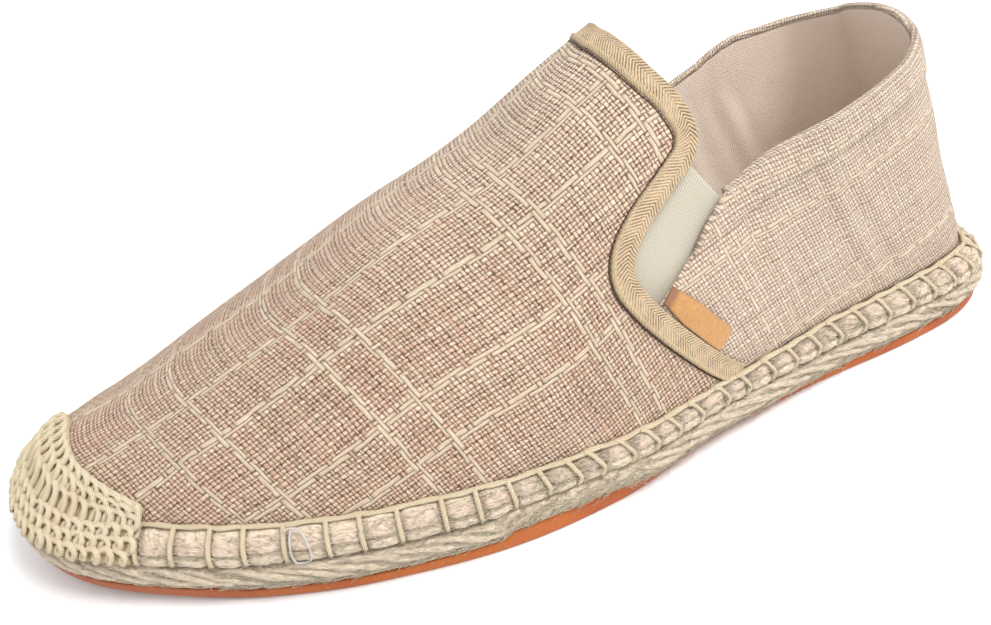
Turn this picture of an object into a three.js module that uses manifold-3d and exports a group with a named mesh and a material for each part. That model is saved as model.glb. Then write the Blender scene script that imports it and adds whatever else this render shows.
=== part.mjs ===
import * as THREE from "three";
import Module from "manifold-3d";

const wasm = await Module();
wasm.setup();

// Espadrille slip-on, left shoe. Toe at -Y, outer side at +X, sole on z = 0. Millimetres.

// Sole
const SOLE_LENGTH = 285;
const BALL_WIDTH = 106;
const TOE_SWING = 15.3;
const SOLE_HEIGHT = 18.8;
const TOE_RISE = 1.6;
const RUBBER_THICKNESS = 3;
const RUBBER_INSET = 0.8;
const RUBBER_EDGE_ROUND = 0.8;
const WAIST_UNDERCUT = 2.6;
const TOE_SPRING = 5.4;
const HEEL_BEVEL = 3.6;
const ARCH_LIFT = 1.2;
const ROPE_BULGE = 1.2;
const TOE_RIM = 9.4;
const BALL_RIM = 6;
const WAIST_RIM = 1.9;
const HEEL_RIM = 6.6;

// Upper
const UPPER_WALL = 1.8;
const QUARTER_TUCK = 0.6;
const INSTEP_HEIGHT = 80;
const COLLAR_HEIGHT = 69;
const HEEL_LEAN = 22.8;
const RIDGE_SHIFT = 4.1;
const HEM_WIDTH = 9;
const HEM_STEP = 0.5;

// Trim
const GUSSET_THICKNESS = 1.2;
const BINDING_WIDTH = 4.4;
const BINDING_THICKNESS = 0.9;
const BINDING_GAP = 0.6;
const CORD_DIAMETER = 2.8;
const YARN_ROWS = 6;
const WRAP_DROP = 7;
const WRAP_REACH = 10;
const WRAP_THICKNESS = 2.2;
const WRAP_GAP = 1;
const TAB_LENGTH = 22;
const TAB_WIDTH = 7.6;
const TAB_THICKNESS = 0.8;
const INSOLE_THICKNESS = 2.4;
const GAP = 0.3;

// Plan outline: station along the sole from the heel, half widths as shares of BALL_WIDTH.
const PLAN = [
  { at: 0.015, outer: 0.2, inner: 0.194 },
  { at: 0.05, outer: 0.263, inner: 0.254 },
  { at: 0.12, outer: 0.301, inner: 0.291 },
  { at: 0.22, outer: 0.334, inner: 0.318 },
  { at: 0.35, outer: 0.402, inner: 0.345 },
  { at: 0.48, outer: 0.492, inner: 0.43 },
  { at: 0.6, outer: 0.52, inner: 0.478 },
  { at: 0.7, outer: 0.503, inner: 0.476 },
  { at: 0.8, outer: 0.452, inner: 0.425 },
  { at: 0.88, outer: 0.376, inner: 0.35 },
  { at: 0.94, outer: 0.298, inner: 0.276 },
  { at: 0.98, outer: 0.195, inner: 0.186 },
];

// Rim between the rope edge and the foot of the upper, in millimetres from the named rims.
const RIM = [
  { at: 0, rim: HEEL_RIM },
  { at: 0.18, rim: (HEEL_RIM + WAIST_RIM) / 2 - 0.4 },
  { at: 0.35, rim: WAIST_RIM },
  { at: 0.55, rim: (WAIST_RIM + BALL_RIM) / 2 },
  { at: 0.75, rim: BALL_RIM },
  { at: 1, rim: TOE_RIM },
];

// Ridge of the upper over the sole, as shares of INSTEP_HEIGHT.
const RIDGE = [
  { at: 0, high: 2.6 },
  { at: 0.1, high: 2.25 },
  { at: 0.2, high: 1.75 },
  { at: 0.3, high: 1.16 },
  { at: 0.4, high: 1.015 },
  { at: 0.52, high: 0.762 },
  { at: 0.62, high: 0.617 },
  { at: 0.72, high: 0.433 },
  { at: 0.82, high: 0.272 },
  { at: 0.9, high: 0.15 },
  { at: 0.96, high: 0.095 },
  { at: 1, high: 0.085 },
];

// Collar line: height as shares of COLLAR_HEIGHT, outward flare of each side's wall there in
// shares of BALL_WIDTH.
const COLLAR = [
  { at: 0, high: 1, outer: 0, inner: 0 },
  { at: 0.03, high: 0.965, outer: -0.008, inner: -0.008 },
  { at: 0.1, high: 0.91, outer: 0.019, inner: 0.05 },
  { at: 0.2, high: 0.846, outer: 0.04, inner: 0.048 },
  { at: 0.27, high: 0.79, outer: 0.02, inner: 0.002 },
  { at: 0.335, high: 0.72, outer: 0, inner: -0.01 },
  { at: 0.5, high: 0.6, outer: 0, inner: 0 },
];

// Rear edge of the vamp from the sole up over the tongue: turn round the section as a share
// of a quarter turn, station along the sole.
const THROAT = [
  { turn: 0, at: 0.331 },
  { turn: 0.064, at: 0.3556 },
  { turn: 0.14, at: 0.3808 },
  { turn: 0.224, at: 0.4063 },
  { turn: 0.3075, at: 0.4269 },
  { turn: 0.379, at: 0.4374 },
  { turn: 0.4265, at: 0.4318 },
  { turn: 0.461, at: 0.4124 },
  { turn: 0.4795, at: 0.3934 },
  { turn: 0.498, at: 0.3739 },
  { turn: 0.5165, at: 0.3579 },
  { turn: 0.559, at: 0.3487 },
  { turn: 0.64, at: 0.3557 },
  { turn: 0.76, at: 0.373 },
  { turn: 0.89, at: 0.384 },
  { turn: 1, at: 0.388 },
];

// Front edge of the quarter: station at each share of the collar height.
const QUARTER_FRONT = [
  { up: 0, at: 0.41 },
  { up: 0.3, at: 0.43 },
  { up: 0.65, at: 0.428 },
  { up: 0.82, at: 0.396 },
  { up: 0.93, at: 0.367 },
  { up: 1, at: 0.336 },
];

// Corners of a gusset: station, height as a share of COLLAR_HEIGHT.
const GUSSET = [
  { at: 0.316, up: 0.6 },
  { at: 0.372, up: 0.93 },
  { at: 0.453, up: 0.58 },
  { at: 0.43, up: 0.3 },
];

// Ends of the toe wrap: station on each side.
const WRAP_ENDS = { outer: 0.89, inner: 0.932 };

// Middle of the label tab: station, height as a share of COLLAR_HEIGHT, tilt of its length.
const TAB_PLACE = { at: 0.3665, up: 0.3, tilt: 0.9 };

// Side of the rope sole from below: lift as a share of the rope height, inset in shares of
// ROPE_BULGE, rim in shares of the rim there.
const ROPE_SIDE = [
  { lift: 0, inset: 1.4, rim: 0 },
  { lift: 0.1, inset: 0.4, rim: 0 },
  { lift: 0.28, inset: 0, rim: 0 },
  { lift: 0.44, inset: 0.3, rim: 0 },
  { lift: 0.53, inset: 1.3, rim: 0 },
  { lift: 0.61, inset: 0.5, rim: 0.02 },
  { lift: 0.76, inset: 0.3, rim: 0.1 },
  { lift: 0.9, inset: 0.3, rim: 0.3 },
  { lift: 1, inset: 0.3, rim: 0.62 },
];

// Piecewise cubic through the rows of a table that never overshoots them.
function curve(rows, column, key = "at") {
  const x = rows.map((row) => row[key]);
  const y = rows.map((row) => row[column]);
  const n = x.length;
  const h = x.slice(1).map((value, i) => value - x[i]);
  const d = h.map((step, i) => (y[i + 1] - y[i]) / step);
  const endSlope = (h0, h1, d0, d1) => {
    const slope = ((2 * h0 + h1) * d0 - h0 * d1) / (h0 + h1);
    if (slope * d0 <= 0) return 0;
    if (d0 * d1 <= 0 && Math.abs(slope) > Math.abs(3 * d0)) return 3 * d0;
    return slope;
  };
  const m = x.map((_, i) => {
    if (i === 0) return endSlope(h[0], h[1], d[0], d[1]);
    if (i === n - 1) return endSlope(h[n - 2], h[n - 3], d[n - 2], d[n - 3]);
    if (d[i - 1] * d[i] <= 0) return 0;
    const w1 = 2 * h[i] + h[i - 1];
    const w2 = h[i] + 2 * h[i - 1];
    return (w1 + w2) / (w1 / d[i - 1] + w2 / d[i]);
  });
  return (at) => {
    const a = Math.min(Math.max(at, x[0]), x[n - 1]);
    let i = 0;
    while (i < n - 2 && a > x[i + 1]) i += 1;
    const t = (a - x[i]) / h[i];
    const s = 1 - t;
    return (
      s * s * (1 + 2 * t) * y[i] +
      s * s * t * h[i] * m[i] +
      t * t * (3 - 2 * t) * y[i + 1] -
      t * t * s * h[i] * m[i + 1]
    );
  };
}

const clamp = (value, low = 0, high = 1) => Math.min(Math.max(value, low), high);
const mix = (a, b, t) => a + (b - a) * t;
const smooth = (t) => clamp(t) ** 2 * (3 - 2 * clamp(t));
const angleOf = (at) => Math.acos(1 - 2 * at);
const stationOf = (angle) => (1 - Math.cos(angle)) / 2;

const ends = [{ at: 0, outer: 0, inner: 0 }, ...PLAN, { at: 1, outer: 0, inner: 0 }];
const planByAngle = ends.map((row) => ({ ...row, at: angleOf(row.at) }));
const outerHalf = curve(planByAngle, "outer");
const innerHalf = curve(planByAngle, "inner");
const rimAt = curve(RIM, "rim");
const ridgeAt = curve(RIDGE, "high");
const collarAt = curve(COLLAR, "high");
const flareOuter = curve(COLLAR, "outer");
const flareInner = curve(COLLAR, "inner");
const quarterFrontAt = curve(QUARTER_FRONT, "at", "up");

// Outline of the rope sole. The angle runs from the back of the heel: positive on the outer side.
function outline(angle) {
  const at = stationOf(angle);
  const half = angle >= 0 ? outerHalf(angle) : -innerHalf(-angle);
  const bend = -TOE_SWING * clamp((at - 0.35) / 0.65) ** 1.6;
  return new THREE.Vector2(bend + half * BALL_WIDTH, SOLE_LENGTH * (0.5 - at));
}

function inward(angle) {
  const wrap = (value) => ((value + 3 * Math.PI) % (2 * Math.PI)) - Math.PI;
  const step = 0.002;
  const along = outline(wrap(angle + step)).sub(outline(wrap(angle - step))).normalize();
  return new THREE.Vector2(along.y, -along.x);
}

function insetPoint(angle, inset) {
  return outline(angle).addScaledVector(inward(angle), inset);
}

// Heights along the sole.
const topAt = (at) => SOLE_HEIGHT + TOE_RISE * clamp((at - 0.72) / 0.28) ** 1.5;
function bottomAt(at) {
  const toe = TOE_SPRING * clamp((at - 0.72) / 0.28) ** 2;
  const heel = HEEL_BEVEL * clamp((0.1 - at) / 0.1) ** 2;
  const arch = ARCH_LIFT * Math.sin(Math.PI * clamp((at - 0.27) / 0.23)) ** 2;
  return toe + heel + arch;
}
const rimOf = (angle) => rimAt(stationOf(angle));
const undercutAt = (at) => WAIST_UNDERCUT * Math.sin(Math.PI * clamp((at - 0.12) / 0.46)) ** 2;

// Height of the ridge over the sole at a section, less the offset into the wall.
const toeRound = Math.PI * 0.86;
function sectionHeight(angle, offset) {
  const outer = insetPoint(angle, rimOf(angle) + offset);
  const inner = insetPoint(-angle, rimOf(angle) + offset);
  const at = 0.5 - (outer.y + inner.y) / 2 / SOLE_LENGTH;
  const t = clamp((angle - toeRound) / (Math.PI - toeRound));
  return (ridgeAt(at) * INSTEP_HEIGHT - offset) * Math.sqrt(1 - t * t);
}

// A point of the last: across runs from -1 on the inner foot line to 1 on the outer one.
function place(angle, across, up, offset) {
  const outer = insetPoint(angle, rimOf(angle) + offset);
  const inner = insetPoint(-angle, rimOf(angle) + offset);
  const middle = outer.clone().add(inner).multiplyScalar(0.5);
  const half = outer.clone().sub(inner).multiplyScalar(0.5);
  const at = stationOf(angle);
  const lean = HEEL_LEAN * clamp(1 - at / 0.42) ** 1.5 * Math.max(up / COLLAR_HEIGHT, 0);
  const shift = RIDGE_SHIFT * clamp((at - 0.2) / 0.15) * (up / INSTEP_HEIGHT);
  const flareShare = across >= 0 ? flareOuter(at) : flareInner(at);
  const flare = flareShare * BALL_WIDTH * across * (up / COLLAR_HEIGHT);
  const y = middle.y + half.y * across;
  return new THREE.Vector3(
    middle.x + half.x * across - shift + flare,
    y - lean,
    topAt(0.5 - y / SOLE_LENGTH) + GAP + up,
  );
}

// Vamp surface: turn 0 at the outer foot line, 1 at the ridge, 2 at the inner foot line.
function vampPoint(angle, turn, offset) {
  const theta = (turn * Math.PI) / 2;
  const c = Math.cos(theta);
  const up = sectionHeight(angle, offset) * Math.abs(Math.sin(theta)) ** (2 / 1.7);
  return place(angle, Math.sign(c) * Math.abs(c) ** (1 / 1.2), up, offset);
}

// Quarter surface at a height over the foot line, on the side of the angle's sign.
function quarterPoint(angle, up, offset) {
  const a = Math.abs(angle);
  const share = clamp(up / sectionHeight(a, offset));
  const across = (1 - share ** 1.7) ** (1 / 2.4);
  return place(a, angle >= 0 ? across : -across, up, offset);
}
const collarUp = (angle) => COLLAR_HEIGHT * collarAt(stationOf(angle));

// Closed geometry from a point list and faces, with shared points merged.
function closed(points, faces) {
  const merge = new Map();
  const kept = [];
  const index = points.map((p) => {
    const key = [p.x, p.y, p.z].map((v) => Math.round(v * 500)).join(",");
    if (!merge.has(key)) {
      merge.set(key, kept.length);
      kept.push(p);
    }
    return merge.get(key);
  });
  const used = faces
    .map((face) => face.map((i) => index[i]))
    .filter(([a, b, c]) => a !== b && b !== c && a !== c);
  const geometry = new THREE.BufferGeometry();
  const positions = kept.flatMap((p) => [p.x, p.y, p.z]);
  geometry.setAttribute("position", new THREE.Float32BufferAttribute(positions, 3));
  geometry.setIndex(used.flat());
  return geometry;
}

// Wall between two surfaces of one grid: rows by columns, the second surface inside the first.
// The grid wraps in its columns where it is a ring.
function wall(outside, inside, rows, columns, ring = false) {
  const points = [];
  const last = ring ? columns : columns - 1;
  for (const surface of [outside, inside]) {
    for (let i = 0; i < rows; i += 1) {
      for (let j = 0; j < columns; j += 1) points.push(surface(i, j));
    }
  }
  const id = (layer, i, j) => layer * rows * columns + i * columns + (j % columns);
  const faces = [];
  const quad = (a, b, c, d) => faces.push([a, b, c], [a, c, d]);
  for (let i = 0; i < rows - 1; i += 1) {
    for (let j = 0; j < last; j += 1) {
      quad(id(0, i, j), id(0, i, j + 1), id(0, i + 1, j + 1), id(0, i + 1, j));
      quad(id(1, i, j), id(1, i + 1, j), id(1, i + 1, j + 1), id(1, i, j + 1));
    }
  }
  for (let j = 0; j < last; j += 1) {
    quad(id(0, 0, j), id(1, 0, j), id(1, 0, j + 1), id(0, 0, j + 1));
    quad(id(0, rows - 1, j), id(0, rows - 1, j + 1), id(1, rows - 1, j + 1), id(1, rows - 1, j));
  }
  if (!ring) {
    for (let i = 0; i < rows - 1; i += 1) {
      quad(id(0, i, 0), id(0, i + 1, 0), id(1, i + 1, 0), id(1, i, 0));
      quad(id(0, i, last), id(1, i, last), id(1, i + 1, last), id(0, i + 1, last));
    }
  }
  return closed(points, faces);
}

// Solid through rings round the sole, from below: the ends are closed across from side to side.
function stack(rings, around) {
  const points = [];
  for (const ring of rings) {
    for (let j = 0; j < around; j += 1) {
      points.push(ring(((j * 2) / around) * Math.PI - Math.PI));
    }
  }
  const faces = [];
  const quad = (a, b, c, d) => faces.push([a, b, c], [a, c, d]);
  for (let i = 0; i < rings.length - 1; i += 1) {
    for (let j = 0; j < around; j += 1) {
      const k = (j + 1) % around;
      quad(i * around + j, (i + 1) * around + j, (i + 1) * around + k, i * around + k);
    }
  }
  const top = (rings.length - 1) * around;
  for (let j = 0; j < around / 2; j += 1) {
    const mirror = (around - j) % around;
    const next = around - j - 1;
    quad(j, j + 1, next, mirror);
    quad(top + j, top + mirror, top + next, top + j + 1);
  }
  return closed(points, faces);
}

function outward(geometry) {
  const p = geometry.getAttribute("position");
  const index = geometry.getIndex().array;
  let volume = 0;
  const corners = [new THREE.Vector3(), new THREE.Vector3(), new THREE.Vector3()];
  for (let i = 0; i < index.length; i += 3) {
    corners.forEach((corner, k) => corner.fromBufferAttribute(p, index[i + k]));
    volume += corners[0].dot(corners[1].clone().cross(corners[2]));
  }
  if (volume >= 0) return geometry;
  const turned = [];
  for (let i = 0; i < index.length; i += 3) turned.push(index[i], index[i + 2], index[i + 1]);
  geometry.setIndex(turned);
  return geometry;
}

function toSolid(geometry) {
  const turned = outward(geometry);
  return new wasm.Manifold(
    new wasm.Mesh({
      numProp: 3,
      vertProperties: new Float32Array(turned.getAttribute("position").array),
      triVerts: new Uint32Array(turned.getIndex().array),
    }),
  );
}

function fromSolid(solid) {
  const mesh = solid.getMesh();
  const geometry = new THREE.BufferGeometry();
  geometry.setAttribute("position", new THREE.Float32BufferAttribute(mesh.vertProperties, 3));
  geometry.setIndex(Array.from(mesh.triVerts));
  return geometry;
}

// Solid swept round a closed or open path by a ring of corner points at each step.
function sweep(corner, corners, steps, loop = false) {
  const points = [];
  for (let i = 0; i < steps; i += 1) {
    for (let k = 0; k < corners; k += 1) points.push(corner(i, k));
  }
  const faces = [];
  const last = loop ? steps : steps - 1;
  for (let i = 0; i < last; i += 1) {
    const n = ((i + 1) % steps) * corners;
    for (let k = 0; k < corners; k += 1) {
      const m = (k + 1) % corners;
      faces.push([i * corners + k, i * corners + m, n + m]);
      faces.push([i * corners + k, n + m, n + k]);
    }
  }
  if (!loop) {
    const end = (steps - 1) * corners;
    const flat = (start, turn) => {
      const half = corners / 2;
      for (let k = 0; k < half - 1; k += 1) {
        const a = start + k;
        const b = start + k + 1;
        const c = start + corners - 2 - k;
        const d = start + corners - 1 - k;
        if (turn) faces.push([a, b, c], [a, c, d]);
        else faces.push([a, c, b], [a, d, c]);
      }
    };
    flat(0, false);
    flat(end, true);
  }
  return closed(points, faces);
}

// Rubber outsole, set in from the rope and undercut at the waist.
const RING_STEPS = 80;
const rubberInset = (angle) => RUBBER_INSET + undercutAt(stationOf(angle));
const soleRing = (inset, height) => (angle) => {
  const p = insetPoint(angle, inset(angle));
  return new THREE.Vector3(p.x, p.y, height(0.5 - p.y / SOLE_LENGTH));
};
const outsoleGeometry = stack(
  [
    soleRing((a) => rubberInset(a) + RUBBER_EDGE_ROUND, (at) => bottomAt(at)),
    soleRing(rubberInset, (at) => bottomAt(at) + RUBBER_EDGE_ROUND),
    soleRing(rubberInset, (at) => bottomAt(at) + RUBBER_THICKNESS),
  ],
  RING_STEPS,
);

// Rope sole, two bands with a groove between them and a rounded shoulder.
const ropeFoot = (at) => bottomAt(at) + RUBBER_THICKNESS + GAP;
const ropeRings = ROPE_SIDE.map((row) => {
  const side = (a) => ROPE_BULGE * row.inset + rimOf(a) * row.rim;
  return soleRing(side, (at) => mix(ropeFoot(at), topAt(at), row.lift));
});
const ropeInner = soleRing((a) => rimOf(a) + UPPER_WALL + QUARTER_TUCK, topAt);
const ropeGeometry = stack([...ropeRings, ropeInner], RING_STEPS);

// Insole inside the upper.
const INSOLE_STEPS = 72;
const insoleInset = (a) => rimOf(a) + UPPER_WALL + QUARTER_TUCK + 3 * GAP;
const insoleGeometry = stack(
  [
    soleRing(insoleInset, (at) => topAt(at) + GAP),
    soleRing(insoleInset, (at) => topAt(at) + GAP + INSOLE_THICKNESS * 0.7),
    soleRing((a) => insoleInset(a) + INSOLE_THICKNESS * 0.5, (at) => topAt(at) + GAP + INSOLE_THICKNESS),
  ],
  INSOLE_STEPS,
);

// Rear edge of the vamp as even steps from the outer foot line to the ridge.
const EDGE_STEPS = 23;
const edgeCurve = new THREE.CatmullRomCurve3(
  THROAT.map((row) => new THREE.Vector3(row.turn, row.at * 2, 0)),
  false,
  "centripetal",
);
const EDGE_COUNT = 2 * EDGE_STEPS - 1;
// Turn and section angle on the rear edge, 0 at the outer foot line, 1 at the inner one.
function edgeRow(share) {
  const side = share <= 0.5 ? share * 2 : 2 - share * 2;
  const spot = edgeCurve.getPointAt(clamp(side));
  const turn = side <= 0 ? 0 : clamp(spot.x);
  return { turn: share <= 0.5 ? turn : 2 - turn, angle: angleOf(spot.y / 2) };
}

// Vamp from its rear edge to the toe.
const VAMP_ROWS = 19;
function vampGrid(offset) {
  return (i, j) => {
    const edge = edgeRow(j / (EDGE_COUNT - 1));
    const share = i / (VAMP_ROWS - 1);
    const along = mix(share * share * 2.6, share, smooth(share * 2.4));
    const even = (2 * j) / (EDGE_COUNT - 1);
    const turn = mix(edge.turn, even, smooth(along * 1.6));
    return vampPoint(mix(edge.angle, Math.PI, along), turn, offset);
  };
}
const vampGeometry = wall(vampGrid(0), vampGrid(UPPER_WALL), VAMP_ROWS, EDGE_COUNT);

// Quarter round the heel, tucked under the vamp, with its folded hem standing out a step.
const QUARTER_COLUMNS = 45;
const hemRows = [0, 0.16, 0.32, 0.48, 0.64, 0.82, 1];
const QUARTER_ROWS = hemRows.length + 2;
function quarterGrid(offset, stepped) {
  return (i, j) => {
    const sweepShare = (2 * j) / (QUARTER_COLUMNS - 1) - 1;
    const low = (angle) => collarUp(angle) - HEM_WIDTH;
    const heightAt = (angle) => {
      if (i < hemRows.length) return low(angle) * hemRows[i];
      return i === hemRows.length ? low(angle) + HEM_STEP : collarUp(angle);
    };
    const share = i < hemRows.length ? hemRows[i] * 0.87 : i === hemRows.length ? 0.88 : 1;
    const angle = sweepShare * angleOf(quarterFrontAt(share));
    const lift = stepped && i >= hemRows.length ? HEM_STEP : 0;
    return quarterPoint(angle, heightAt(Math.abs(angle)), offset - lift);
  };
}
const quarterGeometry = wall(
  quarterGrid(QUARTER_TUCK, true),
  quarterGrid(QUARTER_TUCK + UPPER_WALL, false),
  QUARTER_ROWS,
  QUARTER_COLUMNS,
);
const upperSolid = toSolid(vampGeometry).add(toSolid(quarterGeometry));

// Elastic gusset behind the window between vamp and quarter.
const GUSSET_STEPS = 7;
function gussetGrid(side, offset) {
  return (i, j) => {
    const u = i / (GUSSET_STEPS - 1);
    const v = j / (GUSSET_STEPS - 1);
    const corner = (key) =>
      mix(mix(GUSSET[0][key], GUSSET[3][key], v), mix(GUSSET[1][key], GUSSET[2][key], v), u);
    return quarterPoint(side * angleOf(corner("at")), corner("up") * COLLAR_HEIGHT, offset);
  };
}
const gussetOffset = QUARTER_TUCK + UPPER_WALL + GAP;
const gussetGeometry = (side) =>
  wall(
    gussetGrid(side, gussetOffset),
    gussetGrid(side, gussetOffset + GUSSET_THICKNESS),
    GUSSET_STEPS,
    GUSSET_STEPS,
  );

// Point of the vamp beside its rear edge: distance forward over the surface, at an offset.
function fromEdge(share, distance, offset) {
  const edge = edgeRow(share);
  const step = 0.01;
  const at = (angle, turn) => vampPoint(angle, turn, 0);
  const before = edgeRow(Math.max(share - 0.01, 0));
  const after = edgeRow(Math.min(share + 0.01, 1));
  const along = at(after.angle, after.turn).sub(at(before.angle, before.turn)).normalize();
  const low = clamp(edge.turn, step, 2 - step);
  const da = at(edge.angle + step, low).sub(at(edge.angle - step, low)).divideScalar(2 * step);
  const dt = at(edge.angle, low + step).sub(at(edge.angle, low - step)).divideScalar(2 * step);
  const normal = da.clone().cross(dt).normalize();
  const ahead = normal.clone().cross(along).normalize();
  if (ahead.dot(da) < 0) ahead.negate();
  const aa = da.dot(da);
  const tt = dt.dot(dt);
  const cross = da.dot(dt);
  const pa = ahead.dot(da);
  const pt = ahead.dot(dt);
  const det = aa * tt - cross * cross;
  const moveAngle = (pa * tt - pt * cross) / det;
  const moveTurn = (pt * aa - pa * cross) / det;
  const turn = clamp(edge.turn + moveTurn * distance, 0, 2);
  return vampPoint(edge.angle + moveAngle * distance, turn, offset);
}

// Binding: an outer leg on the vamp and a lip that turns in over its edge, from the cord at one
// side over the throat to the cord at the other.
let bindingStart = 0;
const sideFoot = (share) => fromEdge(share, BINDING_WIDTH, -GAP).z - SOLE_HEIGHT;
while (sideFoot(bindingStart) < CORD_DIAMETER + 4 * GAP) bindingStart += 0.001;
const lipDepth = (share) => {
  const fromFoot = 2 * Math.min(share, 1 - share);
  return mix(QUARTER_TUCK - BINDING_GAP, UPPER_WALL, smooth((fromFoot - 0.36) / 0.1));
};
const BINDING_STEPS = 53;
const bindingGeometry = sweep(
  (i, k) => {
    const share = mix(bindingStart, 1 - bindingStart, i / (BINDING_STEPS - 1));
    const near = -BINDING_GAP;
    const out = near - BINDING_THICKNESS;
    const ring = [
      [near, lipDepth(share)],
      [near, near],
      [BINDING_WIDTH / 2, near],
      [BINDING_WIDTH, near],
      [BINDING_WIDTH, out],
      [BINDING_WIDTH / 2, out],
      [out, out],
      [out, lipDepth(share)],
    ];
    return fromEdge(share, ring[k][0], ring[k][1]);
  },
  8,
  BINDING_STEPS,
);

// Cord of the blanket stitch along the foot of the upper, from one end of the toe wrap to the other.
const CORD_STEPS = 84;
const wrapOuter = angleOf(WRAP_ENDS.outer);
const wrapInner = angleOf(WRAP_ENDS.inner);
const cordShort = (2 * GAP) / BALL_WIDTH;
const cordGeometry = sweep(
  (i, k) => {
    const angle = mix(cordShort - wrapInner, wrapOuter - cordShort, i / (CORD_STEPS - 1));
    const spot = (k * Math.PI) / 3 + Math.PI / 6;
    const radius = CORD_DIAMETER / 2;
    const inset = rimOf(angle) - 2 * GAP - radius + radius * Math.cos(spot);
    const p = insetPoint(angle, inset);
    const foot = topAt(0.5 - p.y / SOLE_LENGTH) + GAP;
    return new THREE.Vector3(p.x, p.y, foot + radius + radius * Math.sin(spot));
  },
  6,
  CORD_STEPS,
);

// Height of the vamp over a plan point near the toe.
function vampHeight(x, y) {
  let low = Math.PI / 2;
  let high = Math.PI;
  let across = 0;
  for (let i = 0; i < 24; i += 1) {
    const angle = (low + high) / 2;
    const outer = insetPoint(angle, rimOf(angle));
    const inner = insetPoint(-angle, rimOf(angle));
    const half = Math.max((outer.x - inner.x) / 2, 0.01);
    across = clamp((x - (outer.x + inner.x) / 2) / half, -1, 1);
    if ((outer.y + inner.y) / 2 + ((outer.y - inner.y) / 2) * across > y) low = angle;
    else high = angle;
  }
  const share = Math.max(1 - Math.abs(across) ** 2.4, 0) ** (1 / 1.7);
  return topAt(0.5 - y / SOLE_LENGTH) + GAP + sectionHeight(low, 0) * share;
}

// Toe wrap: rows of yarn round the toe, from the side of the rope over its rim to the vamp. It
// is a band with ribs outside, cut clear of the upper and the rope.
const WRAP_COLUMNS = 23;
const RIB_STEPS = 3;
const WRAP_ROWS = YARN_ROWS * RIB_STEPS + 1;
function wrapPath(column, row, offset) {
  const around = mix(-1, 1, column / (WRAP_COLUMNS - 1));
  const side = around >= 0 ? 1 : -1;
  const angle = side * mix(Math.PI, side > 0 ? wrapOuter : wrapInner, Math.abs(around));
  const rim = rimOf(angle);
  const share = row / (WRAP_ROWS - 1);
  const split = 0.6;
  if (share <= split) {
    const phi = ((share / split) * Math.PI) / 2;
    const p = insetPoint(angle, rim * (1 - Math.cos(phi)) - offset * Math.cos(phi));
    const drop = WRAP_DROP * (1 - Math.sin(phi));
    const level = topAt(0.5 - p.y / SOLE_LENGTH);
    return new THREE.Vector3(p.x, p.y, level - drop + offset * Math.sin(phi));
  }
  const t = (share - split) / (1 - split);
  const reach = mix(WRAP_REACH, CORD_DIAMETER / 2, Math.abs(around) ** 2);
  const p = insetPoint(angle, rim + reach * t);
  return new THREE.Vector3(p.x, p.y, vampHeight(p.x, p.y) + offset);
}
const rib = (row) => 0.55 + 0.45 * Math.abs(Math.sin((row / RIB_STEPS) * Math.PI));
const thin = (column) => 1 - 0.45 * Math.abs((2 * column) / (WRAP_COLUMNS - 1) - 1) ** 8;
const wrapGeometry = wall(
  (i, j) => wrapPath(j, i, WRAP_GAP + WRAP_THICKNESS * rib(i) * thin(j)),
  (i, j) => wrapPath(j, i, WRAP_GAP),
  WRAP_ROWS,
  WRAP_COLUMNS,
);

// Bare label tab on the outer side of the quarter, its front edge behind the binding.
const TAB_STEPS = 5;
function tabGrid(offset) {
  return (i, j) => {
    const u = i / (TAB_STEPS - 1) - 0.5;
    const v = j / (TAB_STEPS - 1) - 0.5;
    const along = u * TAB_LENGTH * Math.cos(TAB_PLACE.tilt) - v * TAB_WIDTH * Math.sin(TAB_PLACE.tilt);
    const up = u * TAB_LENGTH * Math.sin(TAB_PLACE.tilt) + v * TAB_WIDTH * Math.cos(TAB_PLACE.tilt);
    const at = TAB_PLACE.at + along / SOLE_LENGTH;
    return quarterPoint(angleOf(at), TAB_PLACE.up * COLLAR_HEIGHT + up, offset);
  };
}
const tabGeometry = wall(
  tabGrid(QUARTER_TUCK - GAP - TAB_THICKNESS),
  tabGrid(QUARTER_TUCK - GAP),
  TAB_STEPS,
  TAB_STEPS,
);

// Materials, colours as the shoe has them.
const cloth = (color, roughness = 0.95) =>
  new THREE.MeshStandardMaterial({ color, roughness, metalness: 0 });
const linen = cloth(0xcdb098);
const rope = cloth(0xc9b899);
const rubber = cloth(0xcb7038, 0.6);
const tape = cloth(0xbfa074);
const elastic = cloth(0xe3ded0);
const yarn = cloth(0xe2cfa6);
const sock = cloth(0xe6ddd0);
const tab = cloth(0xdb9c48);

const shoe = new THREE.Group();
function add(name, geometry, material) {
  const turned = outward(geometry);
  turned.computeVertexNormals();
  const mesh = new THREE.Mesh(turned, material);
  mesh.name = name;
  shoe.add(mesh);
}

add("outsole", outsoleGeometry, rubber);
add("jute_sole", ropeGeometry, rope);
add("insole", insoleGeometry, sock);
add("upper", fromSolid(upperSolid), linen);
add("gusset_lateral", gussetGeometry(1), elastic);
add("gusset_medial", gussetGeometry(-1), elastic);
add("throat_binding", bindingGeometry, tape);
add("edge_cord", cordGeometry, yarn);
add("toe_wrap", wrapGeometry, yarn);
add("label_tab", tabGeometry, tab);

// The origin is under the middle of the shoe, on the ground.
const box = new THREE.Box3().setFromObject(shoe);
const centre = box.getCenter(new THREE.Vector3());
shoe.position.set(-centre.x, -centre.y, -box.min.z);
shoe.updateMatrixWorld(true);

export default shoe;
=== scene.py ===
import math
import bpy
import numpy as np
from mathutils import Matrix, Vector


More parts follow.
